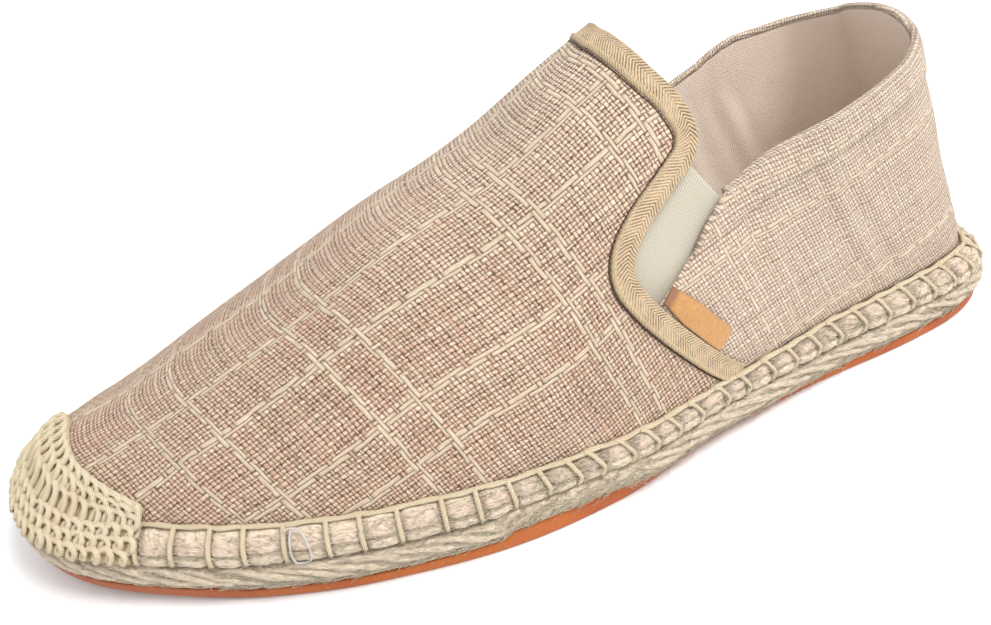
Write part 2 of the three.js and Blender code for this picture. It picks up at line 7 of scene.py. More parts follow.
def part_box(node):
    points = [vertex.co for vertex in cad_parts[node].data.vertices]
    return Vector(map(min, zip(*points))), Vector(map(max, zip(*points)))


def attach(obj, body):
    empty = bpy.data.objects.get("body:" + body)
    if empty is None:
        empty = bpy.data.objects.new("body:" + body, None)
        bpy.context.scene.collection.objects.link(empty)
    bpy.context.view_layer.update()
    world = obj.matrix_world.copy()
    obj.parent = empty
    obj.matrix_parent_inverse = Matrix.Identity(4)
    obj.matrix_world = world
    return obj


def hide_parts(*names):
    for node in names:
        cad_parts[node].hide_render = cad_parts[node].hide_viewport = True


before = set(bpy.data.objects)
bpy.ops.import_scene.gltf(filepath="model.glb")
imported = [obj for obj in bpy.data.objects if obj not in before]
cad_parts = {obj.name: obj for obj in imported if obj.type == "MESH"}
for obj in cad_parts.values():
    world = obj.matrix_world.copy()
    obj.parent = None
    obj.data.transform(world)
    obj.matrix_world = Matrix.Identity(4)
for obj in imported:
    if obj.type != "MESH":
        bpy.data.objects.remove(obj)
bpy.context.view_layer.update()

# Espadrille slip-on, left shoe: toe at -Y, outer side at +X. Shapes are worked out in
# millimetres from the sizes that the CAD model has, and become metres when a mesh is made.
# at: station from the heel (0) to the toe (1); angle: round the outline from the heel; up: height;
# offset: depth into the wall.

millimetre = 0.001
pi = math.pi
seatGap = 0.3  # between pieces that sit on one another

soleSizes = {
    "length": 285, "ball": 106, "toeSwing": 15.3, "height": 18.8, "toeRise": 1.6,
    "rubber": 3, "rubberInset": 0.8, "waistUndercut": 2.6,
    "toeSpring": 5.4, "heelBevel": 3.6, "archLift": 1.2, "ropeBulge": 1.2,
}
upperSizes = {
    "wall": 1.8, "tuck": 0.6, "instep": 80, "collar": 69, "heelLean": 22.8, "ridgeShift": 4.1,
    "hem": 9, "hemStep": 0.5,
}

# Station from the heel, half widths as shares of the ball width: outer, inner.
planRows = [
    (0.015, 0.2, 0.194), (0.05, 0.263, 0.254), (0.12, 0.301, 0.291), (0.22, 0.334, 0.318),
    (0.35, 0.402, 0.345), (0.48, 0.492, 0.43), (0.6, 0.52, 0.478), (0.7, 0.503, 0.476),
    (0.8, 0.452, 0.425), (0.88, 0.376, 0.35), (0.94, 0.298, 0.276), (0.98, 0.195, 0.186),
]
# Station, rim of rope outside the upper's foot.
rimRows = [(0, 6.6), (0.18, 3.85), (0.35, 1.9), (0.55, 3.95), (0.75, 6), (1, 9.4)]
# Station, height of the ridge as a share of the instep height.
ridgeRows = [
    (0, 2.6), (0.1, 2.25), (0.2, 1.75), (0.3, 1.16), (0.4, 1.015), (0.52, 0.762), (0.62, 0.617),
    (0.72, 0.433), (0.82, 0.272), (0.9, 0.15), (0.96, 0.095), (1, 0.085),
]
# Station, collar height as a share, flare of the outer and inner wall in shares of the ball width.
collarRows = [
    (0, 1, 0, 0), (0.03, 0.965, -0.008, -0.008), (0.1, 0.91, 0.019, 0.05), (0.2, 0.846, 0.04, 0.048),
    (0.27, 0.78, 0.02, 0.002), (0.325, 0.695, 0, -0.01), (0.5, 0.6, 0, 0),
]
# Rear edge of the vamp: share of a quarter turn from the outer foot line, station.
throatRows = [
    (0, 0.331), (0.064, 0.3556), (0.14, 0.3808), (0.224, 0.4063), (0.3075, 0.4269), (0.379, 0.4374),
    (0.4265, 0.4318), (0.461, 0.4124), (0.4795, 0.3934), (0.498, 0.3739), (0.5165, 0.3579),
    (0.559, 0.3487), (0.64, 0.3557), (0.76, 0.373), (0.89, 0.384), (1, 0.388),
]
# Share of the collar height, station of the quarter's front edge.
quarterFrontRows = [(0, 0.41), (0.3, 0.43), (0.65, 0.424), (0.82, 0.388), (0.93, 0.357), (1, 0.325)]
# Corners of the elastic: station, share of the collar height.
gussetEdge = [(0.316, 0.6), (0.372, 0.93), (0.453, 0.58), (0.43, 0.3)]


def curve(rows, column=1):
    # Piecewise cubic through the rows that never overshoots them.
    rows = np.array(rows, float)
    x, y = rows[:, 0], rows[:, column]
    h = np.diff(x)
    d = np.diff(y) / h
    m = np.zeros(len(x))
    for i in range(1, len(x) - 1):
        if d[i - 1] * d[i] > 0:
            a, b = 2 * h[i] + h[i - 1], h[i] + 2 * h[i - 1]
            m[i] = (a + b) / (a / d[i - 1] + b / d[i])

    def end(h0, h1, d0, d1):
        slope = ((2 * h0 + h1) * d0 - h0 * d1) / (h0 + h1)
        if slope * d0 <= 0:
            return 0
        return 3 * d0 if d0 * d1 <= 0 and abs(slope) > abs(3 * d0) else slope

    m[0] = end(h[0], h[1], d[0], d[1])
    m[-1] = end(h[-1], h[-2], d[-1], d[-2])

    def value(at):
        a = np.clip(at, x[0], x[-1])
        i = np.clip(np.searchsorted(x, a) - 1, 0, len(x) - 2)
        t = (a - x[i]) / h[i]
        s = 1 - t
        return (s * s * (1 + 2 * t) * y[i] + s * s * t * h[i] * m[i]
                + t * t * (3 - 2 * t) * y[i + 1] - t * t * s * h[i] * m[i + 1])

    return value


def share(v):
    return np.clip(v, 0, 1)


def mix(a, b, t):
    return a + (b - a) * t


def smooth(t):
    return share(t) ** 2 * (3 - 2 * share(t))


def bell(x, middle, width, power=2):
    return np.exp(-(((x - middle) / width) ** power))


def angleOf(at):
    return np.arccos(1 - 2 * np.asarray(at, float))


def stationOf(angle):
    return (1 - np.cos(angle)) / 2


planEnds = [(0, 0, 0), *planRows, (1, 0, 0)]
outerHalf = curve([(float(angleOf(r[0])), r[1]) for r in planEnds])
innerHalf = curve([(float(angleOf(r[0])), r[2]) for r in planEnds])
rimAt = curve(rimRows)
ridgeAt = curve(ridgeRows)
collarAt, flareOuter, flareInner = curve(collarRows, 1), curve(collarRows, 2), curve(collarRows, 3)
quarterFrontAt = curve(quarterFrontRows)


def outline(angle):
    # Outline of the rope sole; the angle runs from the back of the heel, positive on the outer side.
    at = stationOf(angle)
    half = np.where(angle >= 0, outerHalf(angle), -innerHalf(-angle))
    bend = -soleSizes["toeSwing"] * share((at - 0.35) / 0.65) ** 1.6
    return np.stack([bend + half * soleSizes["ball"], soleSizes["length"] * (0.5 - at)], -1)


def inward(angle):
    def turned(v):
        return (v + 3 * pi) % (2 * pi) - pi

    d = outline(turned(angle + 0.002)) - outline(turned(angle - 0.002))
    d /= np.linalg.norm(d, axis=-1, keepdims=True)
    return np.stack([d[..., 1], -d[..., 0]], -1)


def insetPoint(angle, inset):
    angle = np.asarray(angle, float)
    return outline(angle) + inward(angle) * np.asarray(inset)[..., None]


def topAt(at):
    return soleSizes["height"] + soleSizes["toeRise"] * share((at - 0.72) / 0.28) ** 1.5


def bottomAt(at):
    toe = soleSizes["toeSpring"] * share((at - 0.72) / 0.28) ** 2
    heel = soleSizes["heelBevel"] * share((0.1 - at) / 0.1) ** 2
    return toe + heel + soleSizes["archLift"] * np.sin(pi * share((at - 0.27) / 0.23)) ** 2


def rimOf(angle):
    return rimAt(stationOf(angle))


def undercutAt(at):
    return soleSizes["waistUndercut"] * np.sin(pi * share((at - 0.12) / 0.46)) ** 2


def stationAtY(y):
    return 0.5 - y / soleSizes["length"]


def sectionHeight(angle, offset):
    # Height of the ridge over the sole at a section, less the offset into the wall.
    r = rimOf(angle) + offset
    y = (insetPoint(angle, r)[..., 1] + insetPoint(-angle, r)[..., 1]) / 2
    t = share((angle / pi - 0.86) / 0.14)
    return (ridgeAt(stationAtY(y)) * upperSizes["instep"] - offset) * np.sqrt(1 - t * t)


def place(angle, across, up, offset):
    # A point of the last: across runs from -1 on the inner foot line to 1 on the outer one.
    r = rimOf(angle) + offset
    outer, inner = insetPoint(angle, r), insetPoint(-angle, r)
    middle, half = (outer + inner) / 2, (outer - inner) / 2
    at = stationOf(angle)
    high = up / upperSizes["collar"]
    lean = upperSizes["heelLean"] * share(1 - at / 0.42) ** 1.5 * np.maximum(high, 0)
    shift = upperSizes["ridgeShift"] * share((at - 0.2) / 0.15) * up / upperSizes["instep"]
    flare = np.where(across >= 0, flareOuter(at), flareInner(at)) * soleSizes["ball"] * across * high
    y = middle[..., 1] + half[..., 1] * across
    x = middle[..., 0] + half[..., 0] * across - shift + flare
    return np.stack([x, y - lean, topAt(stationAtY(y)) + seatGap + up], -1)


def vampPoint(angle, turn, offset):
    # Turn 0 at the outer foot line, 1 at the ridge, 2 at the inner foot line: a superellipse.
    theta = turn * pi / 2
    c = np.cos(theta)
    up = sectionHeight(angle, offset) * np.abs(np.sin(theta)) ** (2 / 1.7)
    return place(angle, np.sign(c) * np.abs(c) ** (1 / 1.2), up, offset)


def quarterPoint(angle, up, offset):
    a = np.abs(angle)
    high = share(up / sectionHeight(a, offset))
    across = (1 - high ** 1.7) ** (1 / 2.4)
    return place(a, np.where(np.asarray(angle) >= 0, across, -across), up, offset)


def collarUp(angle):
    return upperSizes["collar"] * collarAt(stationOf(angle))


def throatLine():
    # Centripetal spline through the throat rows, read by its length.
    p = np.array([(turn, at * 2) for turn, at in throatRows])
    q = np.vstack([2 * p[0] - p[1], p, 2 * p[-1] - p[-2]])

    def point(t):
        s = np.clip(t, 0, 1) * (len(p) - 1)
        i = np.minimum(s.astype(int), len(p) - 2)
        w = (s - i)[:, None]
        x0, x1, x2, x3 = q[i], q[i + 1], q[i + 2], q[i + 3]
        d0, d1, d2 = [((b - a) ** 2).sum(1)[:, None] ** 0.25 for a, b in ((x0, x1), (x1, x2), (x2, x3))]
        t1 = ((x1 - x0) / d0 - (x2 - x0) / (d0 + d1) + (x2 - x1) / d1) * d1
        t2 = ((x2 - x1) / d1 - (x3 - x1) / (d1 + d2) + (x3 - x2) / d2) * d1
        return x1 + t1 * w + (3 * (x2 - x1) - 2 * t1 - t2) * w ** 2 + (2 * (x1 - x2) + t1 + t2) * w ** 3

    t = np.linspace(0, 1, 201)
    length = np.r_[0, np.cumsum(np.hypot(*np.diff(point(t), axis=0).T))]
    return lambda u: point(np.interp(np.clip(u, 0, 1) * length[-1], length, t))


throatSpot = throatLine()


def edgeRow(along):
    # Turn and section angle on the vamp's rear edge: along 0 at the outer foot line, 1 at the inner.
    along = np.asarray(along, float)
    side = np.where(along <= 0.5, along * 2, 2 - along * 2)
    spot = throatSpot(side.ravel())
    turn = np.where(side.ravel() <= 0, 0, share(spot[:, 0])).reshape(side.shape)
    return np.where(along <= 0.5, turn, 2 - turn), angleOf(spot[:, 1] / 2).reshape(side.shape)


def unit(v):
    return v / np.maximum(np.linalg.norm(v, axis=-1, keepdims=True), 1e-9)


def dot(a, b):
    return (a * b).sum(-1)


def fromEdge(along, distance, offset):
    # Point of the vamp beside its rear edge: the distance is stepped in the surface, square to the edge.
    turn, angle = edgeRow(along)
    before, after = edgeRow(np.maximum(along - 0.01, 0)), edgeRow(np.minimum(along + 0.01, 1))
    run = unit(vampPoint(after[1], after[0], 0) - vampPoint(before[1], before[0], 0))
    low = np.clip(turn, 0.01, 1.99)
    da = (vampPoint(angle + 0.01, low, 0) - vampPoint(angle - 0.01, low, 0)) / 0.02
    dt = (vampPoint(angle, low + 0.01, 0) - vampPoint(angle, low - 0.01, 0)) / 0.02
    ahead = unit(np.cross(unit(np.cross(da, dt)), run))
    ahead = np.where((dot(ahead, da) < 0)[..., None], -ahead, ahead)
    aa, tt, cr, pa, pt = dot(da, da), dot(dt, dt), dot(da, dt), dot(ahead, da), dot(ahead, dt)
    det = aa * tt - cr * cr
    moveAngle, moveTurn = (pa * tt - pt * cr) / det, (pt * aa - pa * cr) / det
    return vampPoint(angle + moveAngle * distance, np.clip(turn + moveTurn * distance, 0, 2), offset)


# The record's origin is under the middle of the CAD box, so the shapes move by what the outsole shows.
ring = np.linspace(-pi, pi, 81)[:-1]
rubberEdge = insetPoint(ring, soleSizes["rubberInset"] + undercutAt(stationOf(ring)))
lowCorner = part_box("outsole")[0]
frameShift = np.array([lowCorner.x, lowCorner.y, 0]) / millimetre - [*rubberEdge.min(0), 0]
print("stage: frame, shift", frameShift.round(3))


# Camera at the photograph's angle, with its roll.
cameraPlace = {
    "azimuth": 76.31, "elevation": 33.65, "roll": 10.26, "distance": 259.98, "lens": 34.354,
    "aimRight": -6.33, "aimUp": -2.09, "aimHeight": 35,
}


def makeCamera(c):
    a, e, roll = (math.radians(c[k]) for k in ("azimuth", "elevation", "roll"))
    back = Vector((math.sin(a) * math.cos(e), -math.cos(a) * math.cos(e), math.sin(e)))
    right = Vector((math.cos(a), math.sin(a), 0))
    up = back.cross(right)
    aim = Vector((0, 0, c["aimHeight"])) + right * c["aimRight"] + up * c["aimUp"] + Vector(frameShift)
    turnedRight = right * math.cos(roll) - up * math.sin(roll)
    turnedUp = right * math.sin(roll) + up * math.cos(roll)
    data = bpy.data.cameras.new("photoCamera")
    data.lens, data.sensor_width, data.clip_start, data.clip_end = c["lens"], 36, 0.01, 20
    camera = bpy.data.objects.new("photoCamera", data)
    matrix = Matrix((turnedRight, turnedUp, back)).transposed().to_4x4()
    matrix.translation = (aim + back * c["distance"]) * millimetre
    camera.matrix_world = matrix
    bpy.context.scene.collection.objects.link(camera)
    bpy.context.scene.camera = camera


makeCamera(cameraPlace)


# Pieces of the scene: material, slot and the CAD node that a piece replaces.
looks = {
    "rubber_sole": ("gumRubber", "rubber", "outsole"),
    "jute_rope": ("juteRope", "jute", "jute_sole"),
    "laid_cord": ("juteStrand", "jute"),
    "loose_fibres": ("strawFibre", "jute"),
    "sock": ("sockCloth", "lining", "insole"),
    "vamp_linen": ("vampLinen", "linen", "upper"),
    "vamp_lining": ("liningCloth", "lining"),
    "quarter_linen": ("quarterLinen", "linen"),
    "quarter_lining": ("liningCloth", "lining"),
    "elastic_lateral": ("ribbedElastic", "elastic", "gusset_lateral"),
    "elastic_medial": ("ribbedElastic", "elastic", "gusset_medial"),
    "binding_tape": ("herringboneTape", "tape", "throat_binding"),
    "binding_thread": ("threadAndSeamShade", "yarn"),
    "edge_yarn": ("stitchYarn", "yarn", "edge_cord"),
    "blanket_stitches": ("stitchYarn", "yarn"),
    "stray_thread": ("whiteThread", "yarn"),
    "wrap_bed": ("wrapBed", "yarn", "toe_wrap"),
    "wrap_loops": ("wrapYarn", "yarn"),
    "wrap_rim": ("wrapYarn", "yarn"),
    "bare_tab": ("satinTape", "tab", "label_tab"),
}


# Meshes from whole arrays.
def grain(x, y, wide, high, seed, size=64):
    # Smooth random field from 0 to 1 on a lattice of that spacing, which repeats after some cells.
    lattice = np.random.default_rng(seed).random((size, size))
    x, y = np.asarray(x) / wide, np.asarray(y) / high
    i, j = np.floor(x).astype(int), np.floor(y).astype(int)
    u, v = smooth(x - i), smooth(y - j)
    a, b = lattice[i % size, j % size], lattice[(i + 1) % size, j % size]
    c, d = lattice[i % size, (j + 1) % size], lattice[(i + 1) % size, (j + 1) % size]
    return mix(mix(a, b, u), mix(c, d, u), v)


def ripple(run, wide, seed):
    # The same along one line, from -0.5 to 0.5.
    return grain(run, 0 * run, wide, 9, seed) - 0.5


def grid(first, second):
    return np.meshgrid(first, second, indexing="ij")


def gridQuads(rows, columns, ring=False):
    i, j = grid(np.arange(rows - 1), np.arange(columns if ring else columns - 1))
    k = (j + 1) % columns
    quads = np.stack([i * columns + j, i * columns + k, (i + 1) * columns + k, (i + 1) * columns + j], -1)
    return quads.reshape(-1, 4)


def turnOutward(mesh):
    # Signed volume of the closed mesh, by the sum over its faces; negative means inside out.
    mesh.calc_loop_triangles()
    co = np.empty(len(mesh.vertices) * 3)
    mesh.vertices.foreach_get("co", co)
    tris = np.empty(len(mesh.loop_triangles) * 3, int)
    mesh.loop_triangles.foreach_get("vertices", tris)
    p = co.reshape(-1, 3)[tris.reshape(-1, 3)]
    if np.einsum("ij,ij->i", p[:, 0], np.cross(p[:, 1], p[:, 2])).sum() < 0:
        mesh.flip_normals()


def makeMesh(name, points, faces, uv, values=None, sharp=None):
    # A finished piece. Faces have four corners each; in a triangle the last one comes twice.
    mesh = bpy.data.meshes.new(name)
    points = (np.asarray(points, float).reshape(-1, 3) + frameShift) * millimetre
    mesh.from_pydata(points, [], [list(dict.fromkeys(f)) for f in faces.tolist()])
    corner = np.empty(len(mesh.loops), int)
    mesh.loops.foreach_get("vertex_index", corner)
    layer = mesh.uv_layers.new(name="UVMap")
    layer.data.foreach_set("uv", np.asarray(uv, np.float32).reshape(-1, 2)[corner].ravel())
    for key, value in (values or {}).items():
        data = mesh.attributes.new(key, "FLOAT", "POINT").data
        data.foreach_set("value", np.asarray(value, np.float32).ravel())
    mesh.polygons.foreach_set("use_smooth", np.ones(len(mesh.polygons), bool))
    if sharp:
        mesh.set_sharp_from_angle(angle=math.radians(sharp))
    mesh.validate()
    mesh.update()
    turnOutward(mesh)
    material, slotName, *nodes = looks[name]
    mesh.materials.append(bpy.data.materials[material])
    obj = bpy.data.objects.new(name, mesh)
    bpy.context.scene.collection.objects.link(obj)
    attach(obj, "root")
    if nodes:
        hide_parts(*nodes)


def shell(name, outside, inside, uv, values=None):
    # Closed wall between two grids of one shape, rows by columns.
    rows, columns = outside.shape[:2]
    n = rows * columns
    front = gridQuads(rows, columns)
    spots = np.arange(n).reshape(rows, columns)
    faces = [front, front[:, ::-1] + n]
    for line, turned in ((spots[0], True), (spots[-1], False), (spots[:, 0], False), (spots[:, -1], True)):
        a, b = line[:-1], line[1:]
        faces.append(np.stack([a, a + n, b + n, b] if turned else [a, b, b + n, a + n], -1))
    points = np.concatenate([outside.reshape(-1, 3), inside.reshape(-1, 3)])
    values = {key: np.tile(np.ravel(v), 2) for key, v in (values or {}).items()}
    makeMesh(name, points, np.concatenate(faces), np.tile(uv.reshape(-1, 2), (2, 1)), values)


def ringSolid(name, rings, uv, values=None, sharp=None):
    # Closed solid of rings from the lowest up; both ends are filled by strips from side to side.
    rows, n = rings.shape[:2]
    half = n // 2
    i = np.arange(1, half - 1)
    strips = np.stack([i, i + 1, n - i - 1, n - i], -1)
    cap = np.concatenate([strips, [[0, 1, n - 1, n - 1], [half - 1, half, half + 1, half + 1]]])
    faces = np.concatenate([gridQuads(rows, n, True), cap[:, ::-1], cap + (rows - 1) * n])
    makeMesh(name, rings, faces, uv, values, sharp)


def bars(rings, ends, uv):
    # Closed bars, each a row of rings; both ends of a bar are a fan about its middle point.
    count, steps, sides = rings.shape[:3]
    j = np.arange(sides)
    k = (j + 1) % sides
    start = np.arange(count)[:, None] * steps * sides
    last = start + (steps - 1) * sides
    low = count * steps * sides + np.arange(count)[:, None] + 0 * j
    high = low + count
    fans = [np.stack([start + k, start + j, low, low], -1), np.stack([last + j, last + k, high, high], -1)]
    quads = gridQuads(steps, sides, True) + start[..., None]
    faces = np.concatenate([quads.reshape(-1, 4), np.stack(fans, 1).reshape(-1, 4)])
    points = np.concatenate([rings.reshape(-1, 3), ends.reshape(-1, 3)])
    return points, faces, np.concatenate([uv.reshape(-1, 2), np.zeros((2 * count, 2))])


def tube(paths, radius, sides):
    # Round tubes along paths of one length: every path is an array row.
    count, steps = paths.shape[:2]
    run = unit(np.gradient(paths, axis=1))
    side = unit(np.cross(run, np.broadcast_to(np.array([0.13, 0.21, 0.97]), run.shape)))
    up = np.cross(side, run)
    phi = np.arange(sides) / sides * 2 * pi
    r = np.broadcast_to(np.asarray(radius, float), (count, steps))[..., None, None]
    ray = side[:, :, None] * np.cos(phi)[:, None] + up[:, :, None] * np.sin(phi)[:, None]
    rings = paths[:, :, None] + ray * r
    length = np.broadcast_to(along(paths)[..., None], rings.shape[:3])
    ends = np.stack([paths[:, 0], paths[:, -1]])
    return bars(rings, ends, np.stack([length, phi * r[..., 0]], -1))


def makeTubes(name, groups):
    # One piece from groups of tubes; each group has a tone of its own.
    starts = np.cumsum([0] + [len(points) for points, _, _ in groups])
    points, uv = (np.concatenate([group[at] for group in groups]) for at in (0, 2))
    faces = np.concatenate([faces + start for (_, faces, _), start in zip(groups, starts)])
    tone = np.concatenate([np.full(len(group[0]), (at * 0.37) % 1) for at, group in enumerate(groups)])
    makeMesh(name, points, faces, uv, {"tone": tone})


def along(points):
    # Length run along the last-but-one axis.
    steps = np.linalg.norm(np.diff(points, axis=-2), axis=-1)
    return np.concatenate([np.zeros(steps.shape[:-1] + (1,)), np.cumsum(steps, -1)], -1)


def atHeight(xy, z):
    return np.concatenate([xy, np.broadcast_to(np.asarray(z)[..., None], xy.shape[:-1] + (1,))], -1)


def onTop(xy, up):
    # Over the rope's top at that place.
    return atHeight(xy, topAt(stationAtY(xy[..., 1])) + up)


# Materials. A Value is a socket that can be added, multiplied and compared like a number.
class Value:
    def __init__(self, tree, socket):
        self.tree, self.socket = tree, socket

    def make(self, kind, *inputs):
        node = self.tree.nodes.new("ShaderNodeMath")
        node.operation = kind
        for slotAt, value in zip(node.inputs, (self, *inputs)):
            if isinstance(value, Value):
                self.tree.links.new(value.socket, slotAt)
            else:
                slotAt.default_value = value
        return Value(self.tree, node.outputs[0])

    def flip(self):
        return (self * -1.0) + 1.0

    def wave(self, period):
        # From 0 to 1 and back, once in a period.
        return ((self * (2 * pi / period)).sine() * 0.5) + 0.5

    def choose(self, yes, no):
        # yes where this mask is 1, no where it is 0.
        return (self * yes) + (self.flip() * no)

    def ramp(self, low, high):
        node = self.tree.nodes.new("ShaderNodeMapRange")
        node.interpolation_type = "SMOOTHSTEP"
        self.tree.links.new(self.socket, node.inputs["Value"])
        node.inputs["From Min"].default_value, node.inputs["From Max"].default_value = low, high
        return Value(self.tree, node.outputs["Result"])


for word, kind in {
    "__add__": "ADD", "__sub__": "SUBTRACT", "__mul__": "MULTIPLY", "__truediv__": "DIVIDE", "floor": "FLOOR",
    "abs": "ABSOLUTE", "wrap": "FLOORED_MODULO", "below": "LESS_THAN", "above": "GREATER_THAN", "near": "COMPARE",
    "larger": "MAXIMUM", "smaller": "MINIMUM", "power": "POWER", "sine": "SINE",
}.items():
    setattr(Value, word, lambda self, *inputs, kind=kind: self.make(kind, *inputs))


class Paint:
    # A material or a node group being written.
    def __init__(self, tree):
        self.tree = tree

    def node(self, kind, given=(), **settings):
        # given are its inputs by name or place, settings its own properties.
        node = self.tree.nodes.new(kind)
        for key, value in settings.items():
            setattr(node, key, value)
        for key, value in dict(given).items():
            self.put(value, node.inputs[key])
        return node

    def put(self, value, socket):
        if isinstance(value, Value):
            value = value.socket
        if isinstance(value, bpy.types.NodeSocket):
            self.tree.links.new(value, socket)
        elif isinstance(value, tuple) and len(value) == 3 and socket.type == "RGBA":
            socket.default_value = (*value, 1)
        else:
            socket.default_value = value

    def values(self, sockets):
        return [Value(self.tree, s) for s in sockets]

    def split(self, vector):
        return self.values(self.node("ShaderNodeSeparateXYZ", {0: vector}).outputs)

    def join(self, x, y, z=0.0):
        return self.node("ShaderNodeCombineXYZ", {0: x, 1: y, 2: z}).outputs[0]

    def noise(self, vector, scale=1.0, detail=2.0, rough=0.5):
        given = {"Vector": vector, "Scale": scale, "Detail": detail, "Roughness": rough}
        return self.values(self.node("ShaderNodeTexNoise", given).outputs)[0]

    def random(self, x, y, z):
        node = self.node("ShaderNodeTexWhiteNoise", {"Vector": self.join(x, y, z)}, noise_dimensions="3D")
        return self.values(node.outputs)[0]

    def blend(self, amount, first, second):
        given = {0: amount, 6: first, 7: second}
        return self.node("ShaderNodeMix", given, data_type="RGBA", blend_type="MIX").outputs[2]

    def bump(self, height, distance):
        given = {"Strength": 1.0, "Distance": distance * millimetre, "Height": height}
        return self.node("ShaderNodeBump", given).outputs[0]

    def attribute(self, name):
        return Value(self.tree, self.node("ShaderNodeAttribute", attribute_name=name).outputs["Fac"])

    def map(self):
        # Both coordinates of the piece's own map.
        return self.split(self.node("ShaderNodeUVMap", uv_map="UVMap").outputs[0])[:2]

    def place(self):
        # Object coordinates in millimetres.
        given = {0: self.node("ShaderNodeTexCoord").outputs["Object"], "Scale": 1 / millimetre}
        return self.node("ShaderNodeVectorMath", given, operation="SCALE").outputs[0]

    def group(self, made, **inputs):
        return self.values(self.node("ShaderNodeGroup", inputs, node_tree=made).outputs)


def newGroup(name, inputs, outputs):
    # A new node group: its paint, its inputs as values and its output sockets.
    tree = bpy.data.node_groups.new(name, "ShaderNodeTree")
    for key, kind, value in inputs:
        made = tree.interface.new_socket(key, in_out="INPUT", socket_type="NodeSocket" + kind)
        if value is not None:
            made.default_value = value
    for key in outputs:
        tree.interface.new_socket(key, in_out="OUTPUT", socket_type="NodeSocketFloat")
    p = Paint(tree)
    return p, p.values(p.node("NodeGroupInput").outputs)[:len(inputs)], p.node("NodeGroupOutput").inputs


def newMaterial(name, color, roughness, sheen, specular, **settings):
    # color returns what it works out over the surface, by the shader's own input names.
    material = bpy.data.materials.new(name)
    material.use_nodes = True
    p = Paint(material.node_tree)
    made = {"Roughness": roughness, "Sheen Weight": sheen, "Sheen Roughness": 0.6, "Specular IOR Level": specular}
    made.update(color(p, **settings))
    for key, value in made.items():
        p.put(value, p.tree.nodes["Principled BSDF"].inputs[key])
    return material


# Plain weave: bumps over and under, one thread a unit. Long yarns float over eight and under one,
# cross yarns over six and under one.
def weaveGroup():
    p, (thread, long, cross), out = newGroup(
        "plainWeave",
        [("Thread", "Vector", None), ("Long", "Float", 0.0), ("Cross", "Float", 0.0)],
        ["Height", "Lengthwise", "Tone", "Slub"],
    )
    flat, steep, floating = 2.4, 6.6, 4.2
    x, y, _ = p.split(thread)
    i, j = x.floor(), y.floor()
    fx, fy = (x - i) - 0.5, (y - j) - 0.5
    roundX, roundY = fx * fx, fy * fy
    plainTop = ((i + j).wrap(2.0)).below(0.5)
    longTop = (i + (j * 4.0)).wrap(9.0).below(7.5)
    crossTop = (j + (i * 3.0)).wrap(7.0).below(5.5)
    onlyLong = long * cross.flip()
    top = cross.choose(crossTop.flip(), onlyLong.choose(longTop, plainTop))
    longRun = (x + (j * 4.0)).wrap(9.0)
    crossRun = (y + (i * 3.0)).wrap(7.0)
    longEnd = longRun.smaller((longRun * -1.0) + 8.0) * 1.6
    crossEnd = crossRun.smaller((crossRun * -1.0) + 6.0) * 1.6
    plainLong = ((roundX * flat) + (roundY * steep)).flip()
    plainCross = ((roundX * steep) + (roundY * flat)).flip()
    floatLong = (roundY * floating).flip() * longEnd.smaller(1.0)
    floatCross = (roundX * floating).flip() * crossEnd.smaller(1.0)
    isLong, isCross = onlyLong * top, cross * top.flip()
    height = isLong.choose(floatLong, isCross.choose(floatCross, top.choose(plainLong, plainCross)))
    tone = top.choose(p.random(j, 3.0, 1.0), p.random(i, 7.0, 2.0))
    along = p.noise(p.join(top.choose(x * 0.22, i * 3.1), top.choose(j * 3.1, y * 0.22), 4.0), 1.0, 1.0)
    knot = p.random(i, j, 5.0)
    p.put(height.larger(0.0).power(0.5), out["Height"])
    p.put(top, out["Lengthwise"])
    p.put(((tone * 0.35) + (along * 0.4)) + (knot * 0.25), out["Tone"])
    p.put(isLong.larger(isCross), out["Slub"])
    return p.tree


def fibreGroup():
    # Fine streaks along the first coordinate of the map.
    p, (run, length, width), out = newGroup(
        "fineFibre", [("Along", "Vector", None), ("Length", "Float", 3.0), ("Width", "Float", 0.3)],
        ["Streak", "Fluff"],
    )
    x, y, z = p.split(run)
    p.put(p.noise(p.join(x / length, y / width, z), 1.0, 3.0, 0.6).ramp(0.25, 0.75), out["Streak"])
    p.put(p.noise(p.join(x / width, y / width, z / width), 0.6, 4.0, 0.7), out["Fluff"])
    return p.tree


weave, fibre = weaveGroup(), fibreGroup()

# gap is painted shade between the threads.
linenDye = {
    "threadLong": (0.59, 0.39, 0.255), "threadCross": (0.45, 0.27, 0.175), "slub": (0.63, 0.505, 0.365),
    "gap": (0.085, 0.038, 0.022), "pink": (0.56, 0.30, 0.22), "pale": (0.74, 0.61, 0.475),
    "dust": (0.56, 0.495, 0.425), "fibre": (0.88, 0.76, 0.60), "slubGap": (0.34, 0.245, 0.155), "relief": 0.42,
}
# Yarns of the check, in threads: first thread and how many.
vampCheck = {
    "long": [(-54, 2), (-43, 2), (-25, 2), (-13, 2), (5, 2), (17, 2), (35, 2), (47, 2)],
    "cross": [(24, 2), (32, 2), (53, 2), (60, 2), (98, 2), (108, 2), (134, 2), (145, 2)],
}
quarterCheck = {
    "long": [(4, 1), (16, 2), (45, 2), (57, 1)],
    "cross": [(side * at - (side < 0) * 2, 1) for side in (1, -1) for at in (9, 18, 55, 64, 89, 98)],
}


